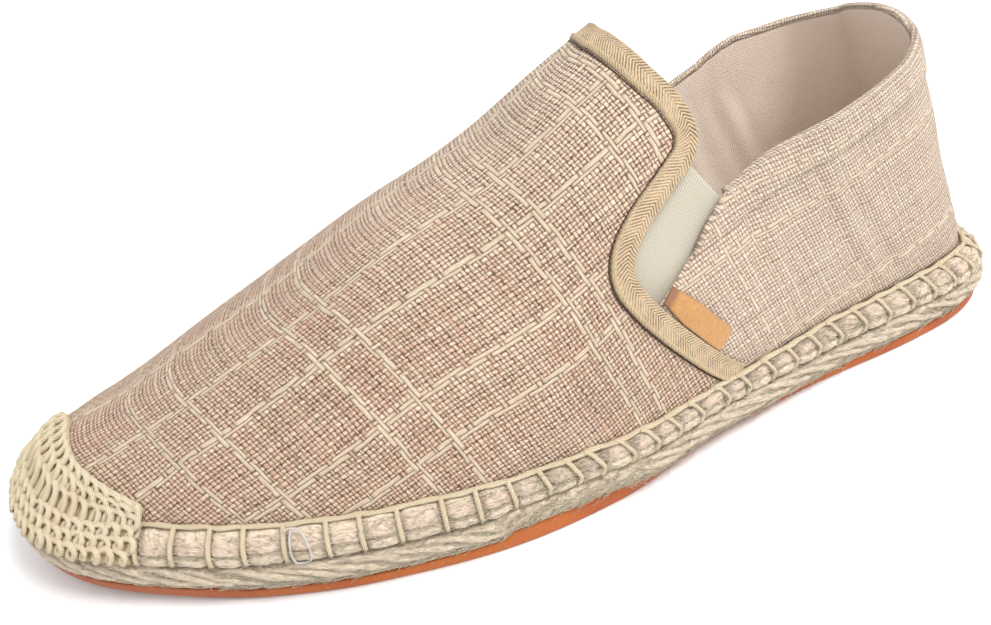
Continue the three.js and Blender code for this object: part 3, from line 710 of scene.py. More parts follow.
def linenColor(p, check, paintedLight, showing, contrast, pink, dusty):
    x, y = p.map()
    place = p.place()
    sway = p.noise(place, 0.045, 1.0) - 0.5
    wobble = p.noise(place, 0.35, 2.0) - 0.5
    unevenX = p.noise(p.join(x * 0.55, 0.0, 3.0), 1.0, 2.0) - 0.5
    unevenY = p.noise(p.join(y * 0.55, 8.0, 5.0), 1.0, 2.0) - 0.5
    x = ((x + (sway * 1.6)) + (wobble * 0.4)) + (unevenX * 1.5)
    y = ((y + (sway * -1.2)) + (wobble * 0.35)) + (unevenY * 1.5)
    masks = {}
    for key, index in (("long", y.floor()), ("cross", x.floor())):
        for first, count in check[key]:
            line = index.near(first + (count - 1) / 2, count / 2 - 0.1)
            masks[key] = line.larger(masks.get(key, 0.0))
    height, run, tone, slub = p.group(weave, Thread=p.join(x, y), Long=masks["long"], Cross=masks["cross"])
    across = p.join(run.choose(x, y), run.choose(y, x))
    streak = p.group(fibre, Along=across, Length=2.6, Width=0.16)[0]
    base = p.blend(run, linenDye["threadCross"], linenDye["threadLong"])
    base = p.blend(p.noise(place, 0.06, 4.0, 0.65).ramp(0.42, 0.62) * pink, base, linenDye["pink"])
    paintedTopLight = p.split(place)[2].ramp(50.0, 100.0) * 0.4  # painted light: paler higher up, most towards the throat
    # Painted light: the cloth is made paler where it stands in more light, over the whole quarter and towards the
    # top; the thread tone is the cloth's own.
    base = p.blend((((tone.ramp(0.3, 0.7) * 0.5) + paintedLight) + paintedTopLight).larger(0.0), base, linenDye["pale"])
    base = p.blend(dusty, base, linenDye["dust"])
    base = p.blend(slub * showing, base, linenDye["slub"])
    base = p.blend(streak * ((slub * 0.2) + 0.3), base, linenDye["fibre"])
    base = p.blend((slub * streak.flip()) * 0.6, base, linenDye["slubGap"])
    dark = p.noise(p.join(x, y, 2.0), 0.9, 2.0).ramp(0.3, 0.7) * 0.35
    # Painted shade: the gap colour darkens the hollows between the threads; contrast sets its strength together
    # with the relief.
    base = p.blend(height.ramp(0.08, 0.8).flip() * ((dark + 0.65) * contrast), base, linenDye["gap"])
    lift = (height * ((slub * 0.2) + 1.0)) + (streak * 0.16)
    return {"Base Color": base, "Normal": p.bump(lift, linenDye["relief"] * contrast)}


def plainColor(p, threads, low, high, relief, tan=None):
    # Plain cloth, darker between its threads as painted shade; tan is painted warm shade on the lining inside the
    # heel.
    x, y = p.map()
    height = p.group(weave, Thread=p.join(x * threads, y * threads))[0]
    base = p.blend(height.ramp(0.0, 0.8), low, high)
    if tan:
        spot = p.split(p.place())
        sway = (p.noise(p.place(), 0.05, 2.0) - 0.5) * 18.0
        # Painted shade, warm, on the lining inside the heel, with a soft wavy edge.
        heel = ((spot[1] + (spot[2] * 0.35)) + sway).ramp(80.0, 96.0) * spot[2].ramp(88.0, 99.0).flip()
        base = p.blend(heel * 0.75, base, tan)
    return {"Base Color": base, "Normal": p.bump(height, relief)}


tapeDye = {"light": (0.74, 0.55, 0.34), "dark": (0.13, 0.07, 0.03), "fibre": (0.82, 0.65, 0.43),
           "bead": (0.66, 0.50, 0.30), "middle": 2.7, "rib": 0.98}


def tapeColor(p):
    # Herringbone: slanted ribs that turn at the middle of the tape, one coordinate along, one across.
    x, y = p.map()
    wobble = (p.noise(p.place(), 0.9, 2.0) - 0.5) * 0.5
    slant = (x + (((y - tapeDye["middle"]).abs()) * 0.95)) + wobble
    rib = slant.wave(tapeDye["rib"])
    streak = p.group(fibre, Along=p.join(slant * 0.6, y + (x * 0.3)), Length=1.2, Width=0.22)[0]
    worn = p.noise(p.place(), 0.25, 3.0).ramp(0.35, 0.65)
    base = p.blend(rib.ramp(0.3, 0.9) * ((worn * 0.55) + 0.45), tapeDye["light"], tapeDye["dark"])
    base = p.blend(streak * 0.35, base, tapeDye["fibre"])
    base = p.blend(p.attribute("bead") * 0.6, base, tapeDye["bead"])
    return {"Base Color": base, "Normal": p.bump((rib * -0.8) + (streak * 0.5), 0.42)}


elasticDye = {"low": (0.36, 0.325, 0.25), "high": (0.55, 0.505, 0.415), "edge": (0.50, 0.46, 0.36)}


def elasticColor(p):
    x, y = p.map()
    height = (y.wave(1) * 0.5) + (x.wave(1) * 0.5)
    edge = x.above(38.6) * ((x * (2 * pi / 1.4)).sine().ramp(-0.4, 0.6))
    base = p.blend(height.ramp(0.1, 0.8), elasticDye["low"], elasticDye["high"])
    base = p.blend(edge * 0.4, base, elasticDye["edge"])
    return {"Base Color": base, "Normal": p.bump(height, 0.09)}


def yarnColor(p, light, dark, turns=0.75):
    # Twisted yarn: slanting plies round the tube, with fine fibre.
    x, y = p.map()
    ply = (((x * turns) + (y * 1.1)) * (2 * pi / 1.15)).sine().abs()
    streak = p.group(fibre, Along=p.join(x, y, p.attribute("tone") * 9.0), Length=1.3, Width=0.14)[0]
    base = p.blend(ply.ramp(0.0, 0.7), dark, light)
    base = p.blend(streak * 0.4, base, tuple(min(1, c * 1.25) for c in light))
    tint = p.noise(p.place(), 0.12, 2.0).ramp(0.35, 0.7)
    base = p.blend(tint * 0.3, base, (light[0] * 0.86, light[1] * 0.76, light[2] * 0.62))
    return {"Base Color": base, "Normal": p.bump((ply * 0.8) + (streak * 0.4), 0.38)}


juteDye = {
    "low": (0.86, 0.66, 0.45), "high": (1.0, 0.90, 0.72), "warm": (0.92, 0.75, 0.56), "pink": (0.94, 0.66, 0.54),
    "hollow": (0.38, 0.23, 0.12), "deepShade": (0.14, 0.09, 0.055),
}


def juteColor(p):
    # Two sets of fibre that cross in patches, hollows between them painted darker as shade, and dark painted shade
    # where the mesh's attribute marks grooves.
    x, y = p.map()
    lying, fluff = p.group(fibre, Along=p.join(x, y, 0.0), Length=2.8, Width=0.2)
    turned = p.join((x * 0.7) + (y * 0.9), (y * 0.8) - (x * 0.5), 3.0)
    slanting = p.group(fibre, Along=turned, Length=3.5, Width=0.26)[0]
    streak = p.noise(p.place(), 0.3, 2.0).ramp(0.4, 0.6).choose(lying, slanting)
    hollow = p.noise(p.join(x / 2.2, y / 0.55, 6.0), 1.0, 3.0, 0.65).ramp(0.28, 0.5)
    base = p.blend(streak, juteDye["low"], juteDye["high"])
    base = p.blend(p.noise(p.place(), 0.11, 3.0).ramp(0.35, 0.7) * 0.35, base, juteDye["warm"])
    base = p.blend(p.attribute("pink") * 0.55, base, juteDye["pink"])
    # Painted shade in the hollows between the fibres.
    base = p.blend(hollow.flip() * 0.5, base, juteDye["hollow"])
    base = p.blend(p.attribute("deepShade"), base, juteDye["deepShade"])
    height = ((streak * 0.8) + (fluff * 0.4)) + (hollow * 0.6)
    return {"Base Color": base, "Normal": p.bump(height, 0.7)}


rubberDye = {"low": (0.34, 0.066, 0.009), "high": (0.45, 0.112, 0.015), "speck": (0.62, 0.23, 0.065),
             "dark": (0.30, 0.085, 0.035)}


def rubberColor(p):
    speck = p.noise(p.place(), 1.2, 4.0, 0.65)
    base = p.blend(p.noise(p.place(), 0.05, 2.0).ramp(0.3, 0.7), rubberDye["low"], rubberDye["high"])
    base = p.blend(speck.ramp(0.45, 0.75) * 0.35, base, rubberDye["speck"])
    # The dark attribute is painted shade towards the toe.
    base = p.blend(p.attribute("dark"), base, rubberDye["dark"])
    return {"Base Color": base, "Normal": p.bump(speck, 0.16), "Roughness": speck.ramp(0.2, 0.8) * 0.2 + 0.45}


labelDye = {"low": (0.36, 0.15, 0.026), "high": (0.57, 0.285, 0.07), "fold": (0.20, 0.07, 0.025)}


def labelColor(p):
    # Satin tape: fine ribs across its length, left bare, with painted shade at its folded front end and along its
    # edges.
    x, y = p.map()
    streak = p.group(fibre, Along=p.join(y, x), Length=2.5, Width=0.25)[0]
    base = p.blend(streak, labelDye["low"], labelDye["high"])
    base = p.blend(p.attribute("fold"), base, labelDye["fold"])
    return {"Base Color": base, "Normal": p.bump((x.wave(0.5) * 0.5) + (streak * 0.5), 0.12)}


# Brown thread, painted very dark as the shade of its seam.
def threadColor(p):
    return {"Base Color": p.blend(p.map()[0].wave(2 * pi / 5), (0.03, 0.016, 0.01), (0.10, 0.055, 0.03))}


def floorColor(p):
    return {"Base Color": p.blend(p.noise(p.place(), 0.004, 2.0), (0.93, 0.93, 0.935), (0.95, 0.95, 0.95))}


# Light and dark side of each yarn, and how fast it twists.
yarns = {
    "wrapYarn": ((1.0, 0.825, 0.57), (0.50, 0.34, 0.17), 0.75),
    "stitchYarn": ((0.88, 0.725, 0.50), (0.54, 0.39, 0.22), 0.75),
    "strawFibre": ((1.0, 0.88, 0.66), (0.78, 0.60, 0.38), 0.3),
    "whiteThread": ((0.98, 0.95, 0.90), (0.88, 0.84, 0.78), 1.5),
    # wrapBed is a darker copy of the wrap yarn: painted shade under the loops.
    "wrapBed": ((0.64, 0.47, 0.27), (0.31, 0.19, 0.09), 0.75),
}
for name, (light, dark, turns) in yarns.items():
    newMaterial(name, yarnColor, 0.85, 0.15, 0.25, light=light, dark=dark, turns=turns)
# The quarter's copy is paler and of lower contrast than the vamp's: painted light, where the quarter stands
# brighter.
for name, check, linen in (
    ("vampLinen", vampCheck, {"paintedLight": 0.0, "showing": 0.75, "contrast": 0.95, "pink": 0.5, "dusty": 0.0}),
    ("quarterLinen", quarterCheck, {"paintedLight": 0.1, "showing": 0.4, "contrast": 0.74, "pink": 0.25, "dusty": 0.36}),
):
    newMaterial(name, linenColor, 0.9, 0.12, 0.22, check=check, **linen)
newMaterial("liningCloth", plainColor, 0.92, 0.1, 0.2, threads=1.7, low=(0.86, 0.84, 0.81),
            high=(0.97, 0.96, 0.95), relief=0.1, tan=(0.86, 0.65, 0.51))
newMaterial("sockCloth", plainColor, 0.9, 0.08, 0.2, threads=1 / 1.1, low=(0.52, 0.44, 0.34),
            high=(0.78, 0.71, 0.60), relief=0.2)
newMaterial("herringboneTape", tapeColor, 0.72, 0.08, 0.35)
newMaterial("ribbedElastic", elasticColor, 0.8, 0.08, 0.3)
newMaterial("juteRope", juteColor, 0.92, 0.15, 0.2)
newMaterial("juteStrand", juteColor, 0.92, 0.15, 0.2)
newMaterial("gumRubber", rubberColor, 0.5, 0.0, 0.4)
newMaterial("satinTape", labelColor, 0.5, 0.2, 0.5)
newMaterial("threadAndSeamShade", threadColor, 0.7, 0.0, 0.3)
print("stage: materials")


# Rubber sole: thin sheet with an uneven upper edge where the glue squeezed out.
rubberCut = {"steps": 720, "edgeWave": 0.35, "lump": 0.5, "bare": 2.1}


def bareRubber(angle):
    # On the outer side the rope's lower edge has been trimmed by the joint of the foot.
    at = stationOf(angle)
    return rubberCut["bare"] * smooth((at - 0.44) / 0.05) * smooth((0.6 - at) / 0.02) * (np.asarray(angle) > 0)


def makeRubber(c):
    angle = np.linspace(-pi, pi, c["steps"], endpoint=False)
    base = soleSizes["rubberInset"] + undercutAt(stationOf(angle))
    run = along(insetPoint(angle, base))
    wave = ripple(run, 9, 3) * 2 * c["edgeWave"] + ripple(run, 2.3, 4) * 0.3
    lumps = c["lump"] * smooth((ripple(run, 14, 5) - 0.22) / 0.2)
    rings, side = [], []
    for inset, up, edge in [
        (2.6, 0, 0), (0.9, 0.02, 0), (0.25, 0.22, 0), (0, 0.75, 0), (-0.08, 1.5, 0), (0, 2.3, 0.3),
        (0.02, 2.9, 1), (0.3, 3.15, 1), (1.0, 3.1, 0.6), (2.2, 2.9, 0),
    ]:
        p = insetPoint(angle, base + inset - lumps * edge * 0.6)
        z = bottomAt(stationAtY(p[:, 1])) + up + (wave + lumps) * edge * 0.8
        rings.append(atHeight(p, z + bareRubber(angle) * smooth(up / 2.9)))
        side.append(np.full(len(angle), up))
    # Painted shade: the rubber darkens towards the toe, away from the light.
    dark = np.tile(0.75 * smooth((stationOf(angle) - 0.66) / 0.3), len(rings))
    uv = np.stack([np.tile(run, len(rings)), np.ravel(side)], -1)
    ringSolid("rubber_sole", np.stack(rings), uv, {"dark": dark})


makeRubber(rubberCut)


# Blanket stitch round the rope: where its down stitches are, by length along the outline.
stitchCut = {"thick": 0.7, "firstAt": 0.8935, "lastAt": 0.962, "under": 0.04, "steps": 1400, "seed": 21}
# Station, step from stitch to stitch.
stitchStepRows = [(0, 8.5), (0.33, 8.3), (0.42, 7.7), (0.52, 7.6), (0.6, 9.2), (0.9, 9.6), (1, 9.6)]

# Side of the rope: height share, how far in (of the bulge), share of the rim.
ropeSideRows = [
    (0, 1.4, 0), (0.1, 0.4, 0), (0.28, 0, 0), (0.44, 0.3, 0), (0.53, 1.3, 0), (0.61, 0.5, 0.02),
    (0.76, 0.3, 0.1), (0.9, 0.3, 0.3), (1, 0.3, 0.62),
]
ropeHigh = 15  # height of the rope's side in its map
ropeIn, ropeRim = curve(ropeSideRows, 1), curve(ropeSideRows, 2)


def ropePoint(angle, lift, out=0.0):
    # On the side of the rope; out is how far it stands off it.
    inset = soleSizes["ropeBulge"] * ropeIn(lift) + rimOf(angle) * ropeRim(lift)
    p = insetPoint(angle, inset - out * (1 - 0.3 * lift))
    at = stationAtY(p[..., 1])
    low = bottomAt(at) + soleSizes["rubber"] + seatGap + bareRubber(angle)
    return atHeight(p, mix(low, topAt(at), lift) + out * smooth((lift - 0.72) / 0.28))


def stitchAngles(c):
    # Even steps along the outline from the outer end of the toe wrap round the heel to its inner end.
    angle = np.linspace(angleOf(c["firstAt"]), -angleOf(c["lastAt"]), 4000)
    run = along(outline(angle))
    number = np.r_[0, np.cumsum(np.diff(run) / curve(stitchStepRows)(stationOf(angle[1:])))]
    count = int(number[-1])
    jitter = np.random.default_rng(c["seed"]).uniform(-0.07, 0.07, count + 1)
    return np.interp(np.arange(count + 1) + jitter, number, angle)


stitchAt = stitchAngles(stitchCut)

# Jute rope: a smooth upper band and a lower band of slanting strands, with a furrow between.
ropeCut = {
    "columns": 1500, "rows": 46, "strand": 8.5, "slant": 2.4, "depth": 0.75, "fluff": 0.5, "pull": 0.6,
    "furrow": 0.53, "seam": 0.745,
}


def makeRope(c):
    angle = np.linspace(-pi, pi, c["columns"], endpoint=False)
    lift = np.r_[0, np.linspace(0.02, 1, c["rows"] - 1)]
    a, v = np.meshgrid(angle, lift)
    run = np.broadcast_to(along(outline(angle)), a.shape)
    low = 1 - smooth((v - 0.5) / 0.06)
    strand = np.abs(np.sin(pi * (run + v * ropeHigh * c["slant"]) / c["strand"]))
    seam = bell(v, c["seam"], 0.03)
    rough = grain(run, v * ropeHigh, 1.6, 0.7, 6) + 0.5 * grain(run, v * ropeHigh, 0.7, 0.4, 7) - 0.75
    slow = grain(run, v * ropeHigh, 11, 5, 8) - 0.5
    near = np.abs(angle[:, None] - stitchAt[None, :])
    gap = near.min(1) * np.linalg.norm(np.gradient(outline(angle), angle, axis=0), axis=1)
    pinch = bell(gap, 0, 1.3) * smooth((v - 0.5) / 0.08)
    cell = np.interp(-angle, -stitchAt, np.arange(len(stitchAt)))
    plump = np.abs(np.sin(pi * cell)) ** 0.7 * (0.95 * bell(v, 0.635, 0.085, 4) + 0.45 * bell(v, 0.84, 0.1, 4))
    out = low * (strand ** 0.6 - 0.5) * c["depth"] + rough * c["fluff"] + slow * 0.6
    out += plump - pinch * c["pull"] - seam * 0.5 * (1 - low) - 0.5 * bell(v, c["furrow"], 0.025)
    out *= smooth(v / 0.05) * 0.9 + 0.1
    # One more ring under the rope and one inside its rim close it.
    inner = onTop(insetPoint(angle, rimOf(angle) + upperSizes["wall"] + upperSizes["tuck"]), 0)
    base = insetPoint(angle, 4.0)
    base = atHeight(base, bottomAt(stationAtY(base[:, 1])) + soleSizes["rubber"] + seatGap)
    rings = np.concatenate([base[None], ropePoint(a, v, out), inner[None]])
    heights = np.r_[0, lift * ropeHigh, ropeHigh + 2]
    uv = np.stack(np.broadcast_arrays(run[0], heights[:, None]), -1)
    pink = smooth((v - 0.72) / 0.08) * smooth((1.02 - v) / 0.1) * (0.35 + 0.65 * grain(run, v * ropeHigh, 6, 5, 9))
    seamOn = smooth((ripple(run, 5, 12) + 0.2) / 0.3)
    # Painted shade: dark in the furrow, along the seam and in the pinches at the stitches; the lower band is
    # darkened too, less where the rope is trimmed.
    deepShade = 0.8 * bell(v, c["furrow"], 0.018) + 0.45 * bell(v, c["seam"], 0.013) * seamOn
    deepShade = share(deepShade + 0.35 * pinch + 0.4 * low * (1 - bareRubber(a) / rubberCut["bare"]))
    values = {key: np.pad(value, ((1, 1), (0, 0))) for key, value in (("pink", pink), ("deepShade", deepShade))}
    ringSolid("jute_rope", rings, uv, values)


makeRope(ropeCut)

# Thin laid cord in the furrow: strands that wind round each other at a low angle.
laidCut = {
    "strands": 4, "round": 1.7, "thick": 1.0, "pitch": 38, "lift": 0.33, "out": -0.6, "flat": 0.6, "steps": 1300,
}


def makeLaid(c):
    angle = np.linspace(-pi, pi, c["steps"])
    run = along(outline(angle))
    turns = round(run[-1] / c["pitch"])
    groups = []
    for k in range(c["strands"]):
        turn = 2 * pi * (run / run[-1] * turns + k / c["strands"])
        loose = ripple(run, 6, 100 + k)
        lift = c["lift"] + (c["round"] * np.sin(turn) + loose) / ropeHigh
        path = ropePoint(angle, lift, c["out"] + c["flat"] * np.cos(turn) + loose * 0.4 - 0.6 * bareRubber(angle))
        groups.append(tube(path[None], c["thick"] * (1 + 0.5 * ripple(run, 2.5, 110 + k)), 7))
    makeTubes("laid_cord", groups)


makeLaid(laidCut)
print("stage: sole")


# Sock on top of the rope, inside the upper.
sockCut = {"clear": 0.9, "rings": [(0.6, 0.3), (0, 0.8), (0, 2.0), (0.6, 2.6), (2.5, 2.7)], "sharp": 50}


def makeSock(c):
    angle = np.linspace(-pi, pi, 360, endpoint=False)
    foot = rimOf(angle) + upperSizes["wall"] + upperSizes["tuck"]
    rings = np.stack([onTop(insetPoint(angle, foot + c["clear"] + inset), up) for inset, up in c["rings"]])
    ringSolid("sock", rings, rings[..., :2], None, c["sharp"])


makeSock(sockCut)


# Vamp: linen outside, lining inside. Threads follow the girth across the ridge and the length along it.
vampCut = {
    "rows": 120, "columns": 200, "linen": 0.95, "thread": 1.22, "first": 1.2, "swing": 0.31, "spread": 0.0017,
    "crown": 12,
}


def vampMap():
    # Length along the ridge and signed girth from it, tabled over section angle and turn.
    angle = np.linspace(1.0, pi - 0.002, 240)
    turn = np.linspace(0, 2, 241)
    a, t = grid(angle, turn)
    girth = along(vampPoint(a, t, 0))
    girth -= girth[:, 120:121]
    ridge = along(vampPoint(angle, np.ones_like(angle), 0))
    ridge -= np.interp(vampCut["first"], angle, ridge)
    return angle, turn, ridge, girth


mapAngle, mapTurn, mapRidge, mapGirth = vampMap()


def readTable(table, x, y, xs, ys):
    i = np.clip(np.searchsorted(xs, x) - 1, 0, len(xs) - 2)
    j = np.clip(np.searchsorted(ys, y) - 1, 0, len(ys) - 2)
    u, v = share((x - xs[i]) / (xs[i + 1] - xs[i])), share((y - ys[j]) / (ys[j + 1] - ys[j]))
    if table.ndim > 2:
        u, v = u[..., None], v[..., None]
    return mix(mix(table[i, j], table[i + 1, j], u), mix(table[i, j + 1], table[i + 1, j + 1], u), v)


def vampThreads(angle, turn):
    # Cloth map in threads: crosswise yarns lag as the girth grows, because the cloth is pulled over the toe.
    girth = readTable(mapGirth, angle, turn, mapAngle, mapTurn)
    length = np.interp(angle, mapAngle, mapRidge)
    lag = np.sqrt(girth ** 2 + vampCut["crown"] ** 2) * (vampCut["swing"] + vampCut["spread"] * length)
    return length + lag, girth


def vampGrid(c):
    s, across = grid(np.linspace(0, 1, c["rows"]), np.linspace(0, 1, c["columns"]))
    edgeTurn, edgeAngle = edgeRow(across)
    run = mix(s * s * 2.6, s, smooth(s * 2.4))
    turn = mix(edgeTurn, 2 * across, smooth(run * 1.6))
    return mix(edgeAngle, pi, run), turn


def makeVamp(c):
    angle, turn = vampGrid(c)
    u, girth = vampThreads(angle, turn)
    soft = (grain(u, girth, 22, 17, 31) - 0.5) * 0.9 * smooth(turn / 0.2) * smooth((2 - turn) / 0.2)
    soft *= smooth((u - 4) / 14)
    height = vampPoint(angle, turn, 0)[..., 2] - soleSizes["height"]
    soft += 0.2 * np.sin(u * 2 * pi / 9.2) * np.exp(-np.maximum(height - 2, 0) / 5) * smooth(height / 3)
    uv = np.stack([u, girth], -1) / c["thread"]
    outside, middle = vampPoint(angle, turn, -soft), vampPoint(angle, turn, c["linen"] - soft)
    shell("vamp_linen", outside, middle, uv)
    inside = vampPoint(angle, turn, upperSizes["wall"])
    shell("vamp_lining", vampPoint(angle, turn, c["linen"] + 0.02 - soft), inside, uv)


makeVamp(vampCut)
print("stage: vamp")


# Soft folds: each is a trough from one point of the cloth to another, with a low ridge beside it.
def folds(x, y, rows):
    total = np.zeros(np.shape(x))
    for x0, y0, x1, y1, width, depth in rows:
        length = math.hypot(x1 - x0, y1 - y0)
        dx, dy = (x1 - x0) / length, (y1 - y0) / length
        run = ((x - x0) * dx + (y - y0) * dy) / length
        beside = (y - y0) * dx - (x - x0) * dy
        fade = smooth(run / 0.3 + 0.4) * smooth((1 - run) / 0.3 + 0.4)
        total += fade * depth * (bell(beside, 0, width) - 0.6 * bell(np.abs(beside), 2 * width, width))
    return total


# Quarter: one band round the heel with a folded hem, rolled over the lining at the collar, its
# front edges folded in over the gussets.
quarterCut = {
    "columns": 420, "rows": 60, "hemRows": 14, "liningRows": 46, "linen": 0.9, "threadLong": 0.98,
    "threadUp": 1.15, "roll": 0.55, "inner": 0.9, "front": 0.011, "round": 26,
    "rise": [  # angle, how far the collar stands above its even line
        (-1.3, 0), (-1.1, -1.4), (-0.98, -1.5), (-0.94, -0.3), (-0.89, 0.8), (-0.84, 1.3), (-0.73, 0.5),
        (-0.6, 0.1), (-0.4, 0.1), (-0.28, -0.5), (-0.14, -0.1), (-0.06, 0.9), (0.02, 2.2), (0.1, 2.1),
        (0.2, 0.9), (0.35, 0),
    ],
}
# Length from the heel and height of both ends of a fold, its half width and depth.
quarterFolds = [
    (74, 47, 53, 1, 2.4, 0.5), (82, 52, 69, 10, 2.6, 0.4), (101, 44, 99, 22, 2.6, 0.4), (22, 15, 30, 4, 2, 0.35),
    (-70, 46, -58, 4, 2.4, 0.4), (-88, 48, -78, 10, 2.6, 0.4),
]


def quarterGrid(c):
    # Rows: height share below the hem, then in the hem, then round the rim, then down inside.
    low, hem = c["rows"], c["hemRows"]
    kind = np.r_[np.zeros(low), np.ones(hem), np.full(6, 2), np.full(3, 3)]
    h = np.r_[np.linspace(0, 1, low), np.linspace(0, 1, hem), np.linspace(0.12, 1, 6), np.linspace(0.33, 1, 3)]
    side = c["front"] * np.array([0, 0.12, 0.3, 0.55, 0.85])
    sweep = np.r_[-1 + side, np.linspace(-1 + c["front"], 1 - c["front"], c["columns"]), 1 - side[::-1]]
    h, s = grid(h, sweep)
    return np.broadcast_to(kind[:, None], h.shape), h, s


def rimUp(c, angle):
    # Collar height of the quarter, with its small rises and dips as sewn.
    return collarUp(angle) + np.interp(angle, *np.array(c["rise"]).T)


def quarterSoft(angle, up, top):
    ring = np.linspace(-pi, pi, 2001)
    foot = along(outline(ring))
    run = np.interp(angle, ring, foot - foot[1000]) * 0.93
    soft = (grain(run + 300, up, 19, 15, 41) - 0.5) * 0.8 - folds(run, up, quarterFolds)
    soft += 0.16 * np.sin(run * 2 * pi / 8.3) * np.exp(-up / 5)
    return run, soft * smooth(up / 6) * (0.3 + 0.7 * smooth((top - up) / 14))


def rounded(points, angle, up, c):
    # The heel's corners are eased towards the collar, most on the inner side: neighbours along each row
    # are averaged.
    def averaged(row, times):
        row = row.copy()
        for _ in range(times):
            row[:, 1:-1] = (row[:, :-2] + 2 * row[:, 1:-1] + row[:, 2:]) / 4
        return row

    eased = averaged(points, c["round"])
    eased = mix(eased, averaged(eased, 6 * c["round"]), smooth((0.02 - angle) / 0.25)[..., None])
    weight = smooth(up / 34) * smooth((0.85 - np.abs(angle)) / 0.3)
    return mix(points, eased, weight[..., None])


def makeQuarter(c):
    kind, h, s = quarterGrid(c)
    front = np.where(kind == 0, h * 0.87, np.where(kind == 1, mix(0.88, 1, h), 1))
    angle = s * angleOf(quarterFrontAt(front))
    top = rimUp(c, angle)
    up = np.where(kind == 0, h * (top - upperSizes["hem"]), top - upperSizes["hem"] * (1 - h))
    up = np.where(kind == 2, top + c["roll"] * np.sin(pi * h), up)
    up = np.where(kind == 3, top - c["inner"] * h, up)
    run, soft = quarterSoft(angle, up, top)
    hem = (kind == 1) * (upperSizes["hemStep"] * smooth(h * 12) + 0.3 * (1 - (2 * h - 1) ** 4))
    hem += 0.12 * (kind == 1) * np.abs(np.sin(run * pi / 3.1)) * smooth(1 - h * 2)
    edge = share((np.abs(s) - 1 + c["front"]) / c["front"])
    turnIn = c["linen"] * (1 - np.sqrt(1 - edge ** 2))
    tuck, wall = upperSizes["tuck"], upperSizes["wall"]
    outer = tuck - soft - hem + turnIn
    over = mix(tuck - upperSizes["hemStep"], tuck + wall + 0.25, (1 - np.cos(pi * h)) / 2)
    outer = np.where(kind == 2, over - soft, outer)
    outer = np.where(kind == 3, tuck + wall + 0.25 - soft, outer)
    inner = np.where(kind >= 2, tuck + c["linen"] + 0.1 - soft, tuck + c["linen"] - soft)
    innerUp = np.where(kind == 2, top - 0.2, np.minimum(up, top - 0.2 * (kind == 3)))
    outside = rounded(quarterPoint(angle, up, outer), angle, up, c)
    inside = rounded(quarterPoint(angle, innerUp, inner), angle, up, c)
    lap = up + (kind == 2) * h * 3 + (kind == 3) * (3 + 2 * c["inner"] * h)
    slantRun, slantUp = run - 0.37 * lap * np.sign(run), lap + 0.18 * np.abs(run)
    uv = np.stack([slantRun / c["threadLong"], slantUp / c["threadUp"]], -1)
    uv = np.where((kind >= 1)[..., None], uv + np.array([0.4, 0.5]), uv)
    shell("quarter_linen", outside, inside, uv)
    # The lining's front edge follows the linen's, which is found by a few rounds.
    h, s = grid(np.linspace(0, 1, c["liningRows"]), s[0])
    front = h
    for _ in range(4):
        angle = s * (angleOf(quarterFrontAt(front)) - 0.012)
        top = rimUp(c, angle)
        up = h * (top - c["inner"] + 0.2)
        below = top - upperSizes["hem"]
        front = np.where(up < below, 0.87 * up / below, mix(0.88, 1, share((up - below) / upperSizes["hem"])))
    run, soft = quarterSoft(angle, up, top)
    back = rounded(quarterPoint(angle, up, tuck + c["linen"] + 0.02 - soft), angle, up, c)
    front = rounded(quarterPoint(angle, up, tuck + wall - soft), angle, up, c)
    uv = np.stack([run / c["threadLong"], up / c["threadUp"]], -1)
    shell("quarter_lining", back, front, uv)


makeQuarter(quarterCut)
print("stage: quarter")


# Elastic gussets behind the windows: ribs run from the vamp to the quarter.
elasticCut = {"columns": 40, "rows": 40, "back": 3.9, "front": 2.7, "threads": 66}


def makeGussets(c):
    u, v = grid(np.linspace(0, 1, c["columns"]), np.linspace(0, 1, c["rows"]))
    corner = np.array(gussetEdge)
    spot = mix(mix(corner[0], corner[3], v[..., None]), mix(corner[1], corner[2], v[..., None]), u[..., None])
    for side, name in ((1, "lateral"), (-1, "medial")):
        angle = side * angleOf(spot[..., 0])
        wave = 0.25 * np.sin(pi * v) * np.sin(pi * u)
        high = spot[..., 1] * upperSizes["collar"]
        outside, inside = (quarterPoint(angle, high, depth) for depth in (c["front"] + wave, c["back"]))
        shell("elastic_" + name, outside, inside, np.stack([u * 40, v * c["threads"]], -1))


makeGussets(elasticCut)


# Binding: herringbone tape folded over the vamp's rear edge, with a bead along its front.
tapeCut = {"steps": 420, "under": 0.12, "thick": 0.55, "bead": 0.42, "lip": 1.9, "seam": 0.2}


def bindingProfile(c):
    # Distance from the edge, offset from the vamp (negative is outside), and how much of the lip it takes.
    low, high = -c["under"], -(c["under"] + c["thick"])
    bead = high - c["bead"]
    return [
        (-1.35, -0.1, 0), (-1.5, -0.5, 0), (-1.35, high - 0.05, 0), (-0.95, high - 0.16, 0), (-0.5, high, 0),
        (0.8, high, 0), (2, high + 0.05, 0), (3.05, high + 0.1, 0), (3.35, high + 0.05, 0), (3.5, bead + 0.05, 0),
        (3.85, bead - 0.1, 0), (4.2, bead + 0.05, 0), (4.45, high, 0), (4.5, low - 0.1, 0), (4.1, low, 0),
        (2, low, 0), (-0.1, low, 0), (-0.35, 0.3, 1), (-0.4, 1, 1), (-0.7, 1, 1), (-1.2, 0.9, 1),
    ]


def bindingRange():
    # The tape starts and ends where its lower edge stands clear of the edge cord.
    at = np.linspace(0, 1, 801)
    clear = fromEdge(at, 0 * at, 0)[:, 2] - soleSizes["height"] >= 1.6
    return at[clear][0], at[clear][-1]


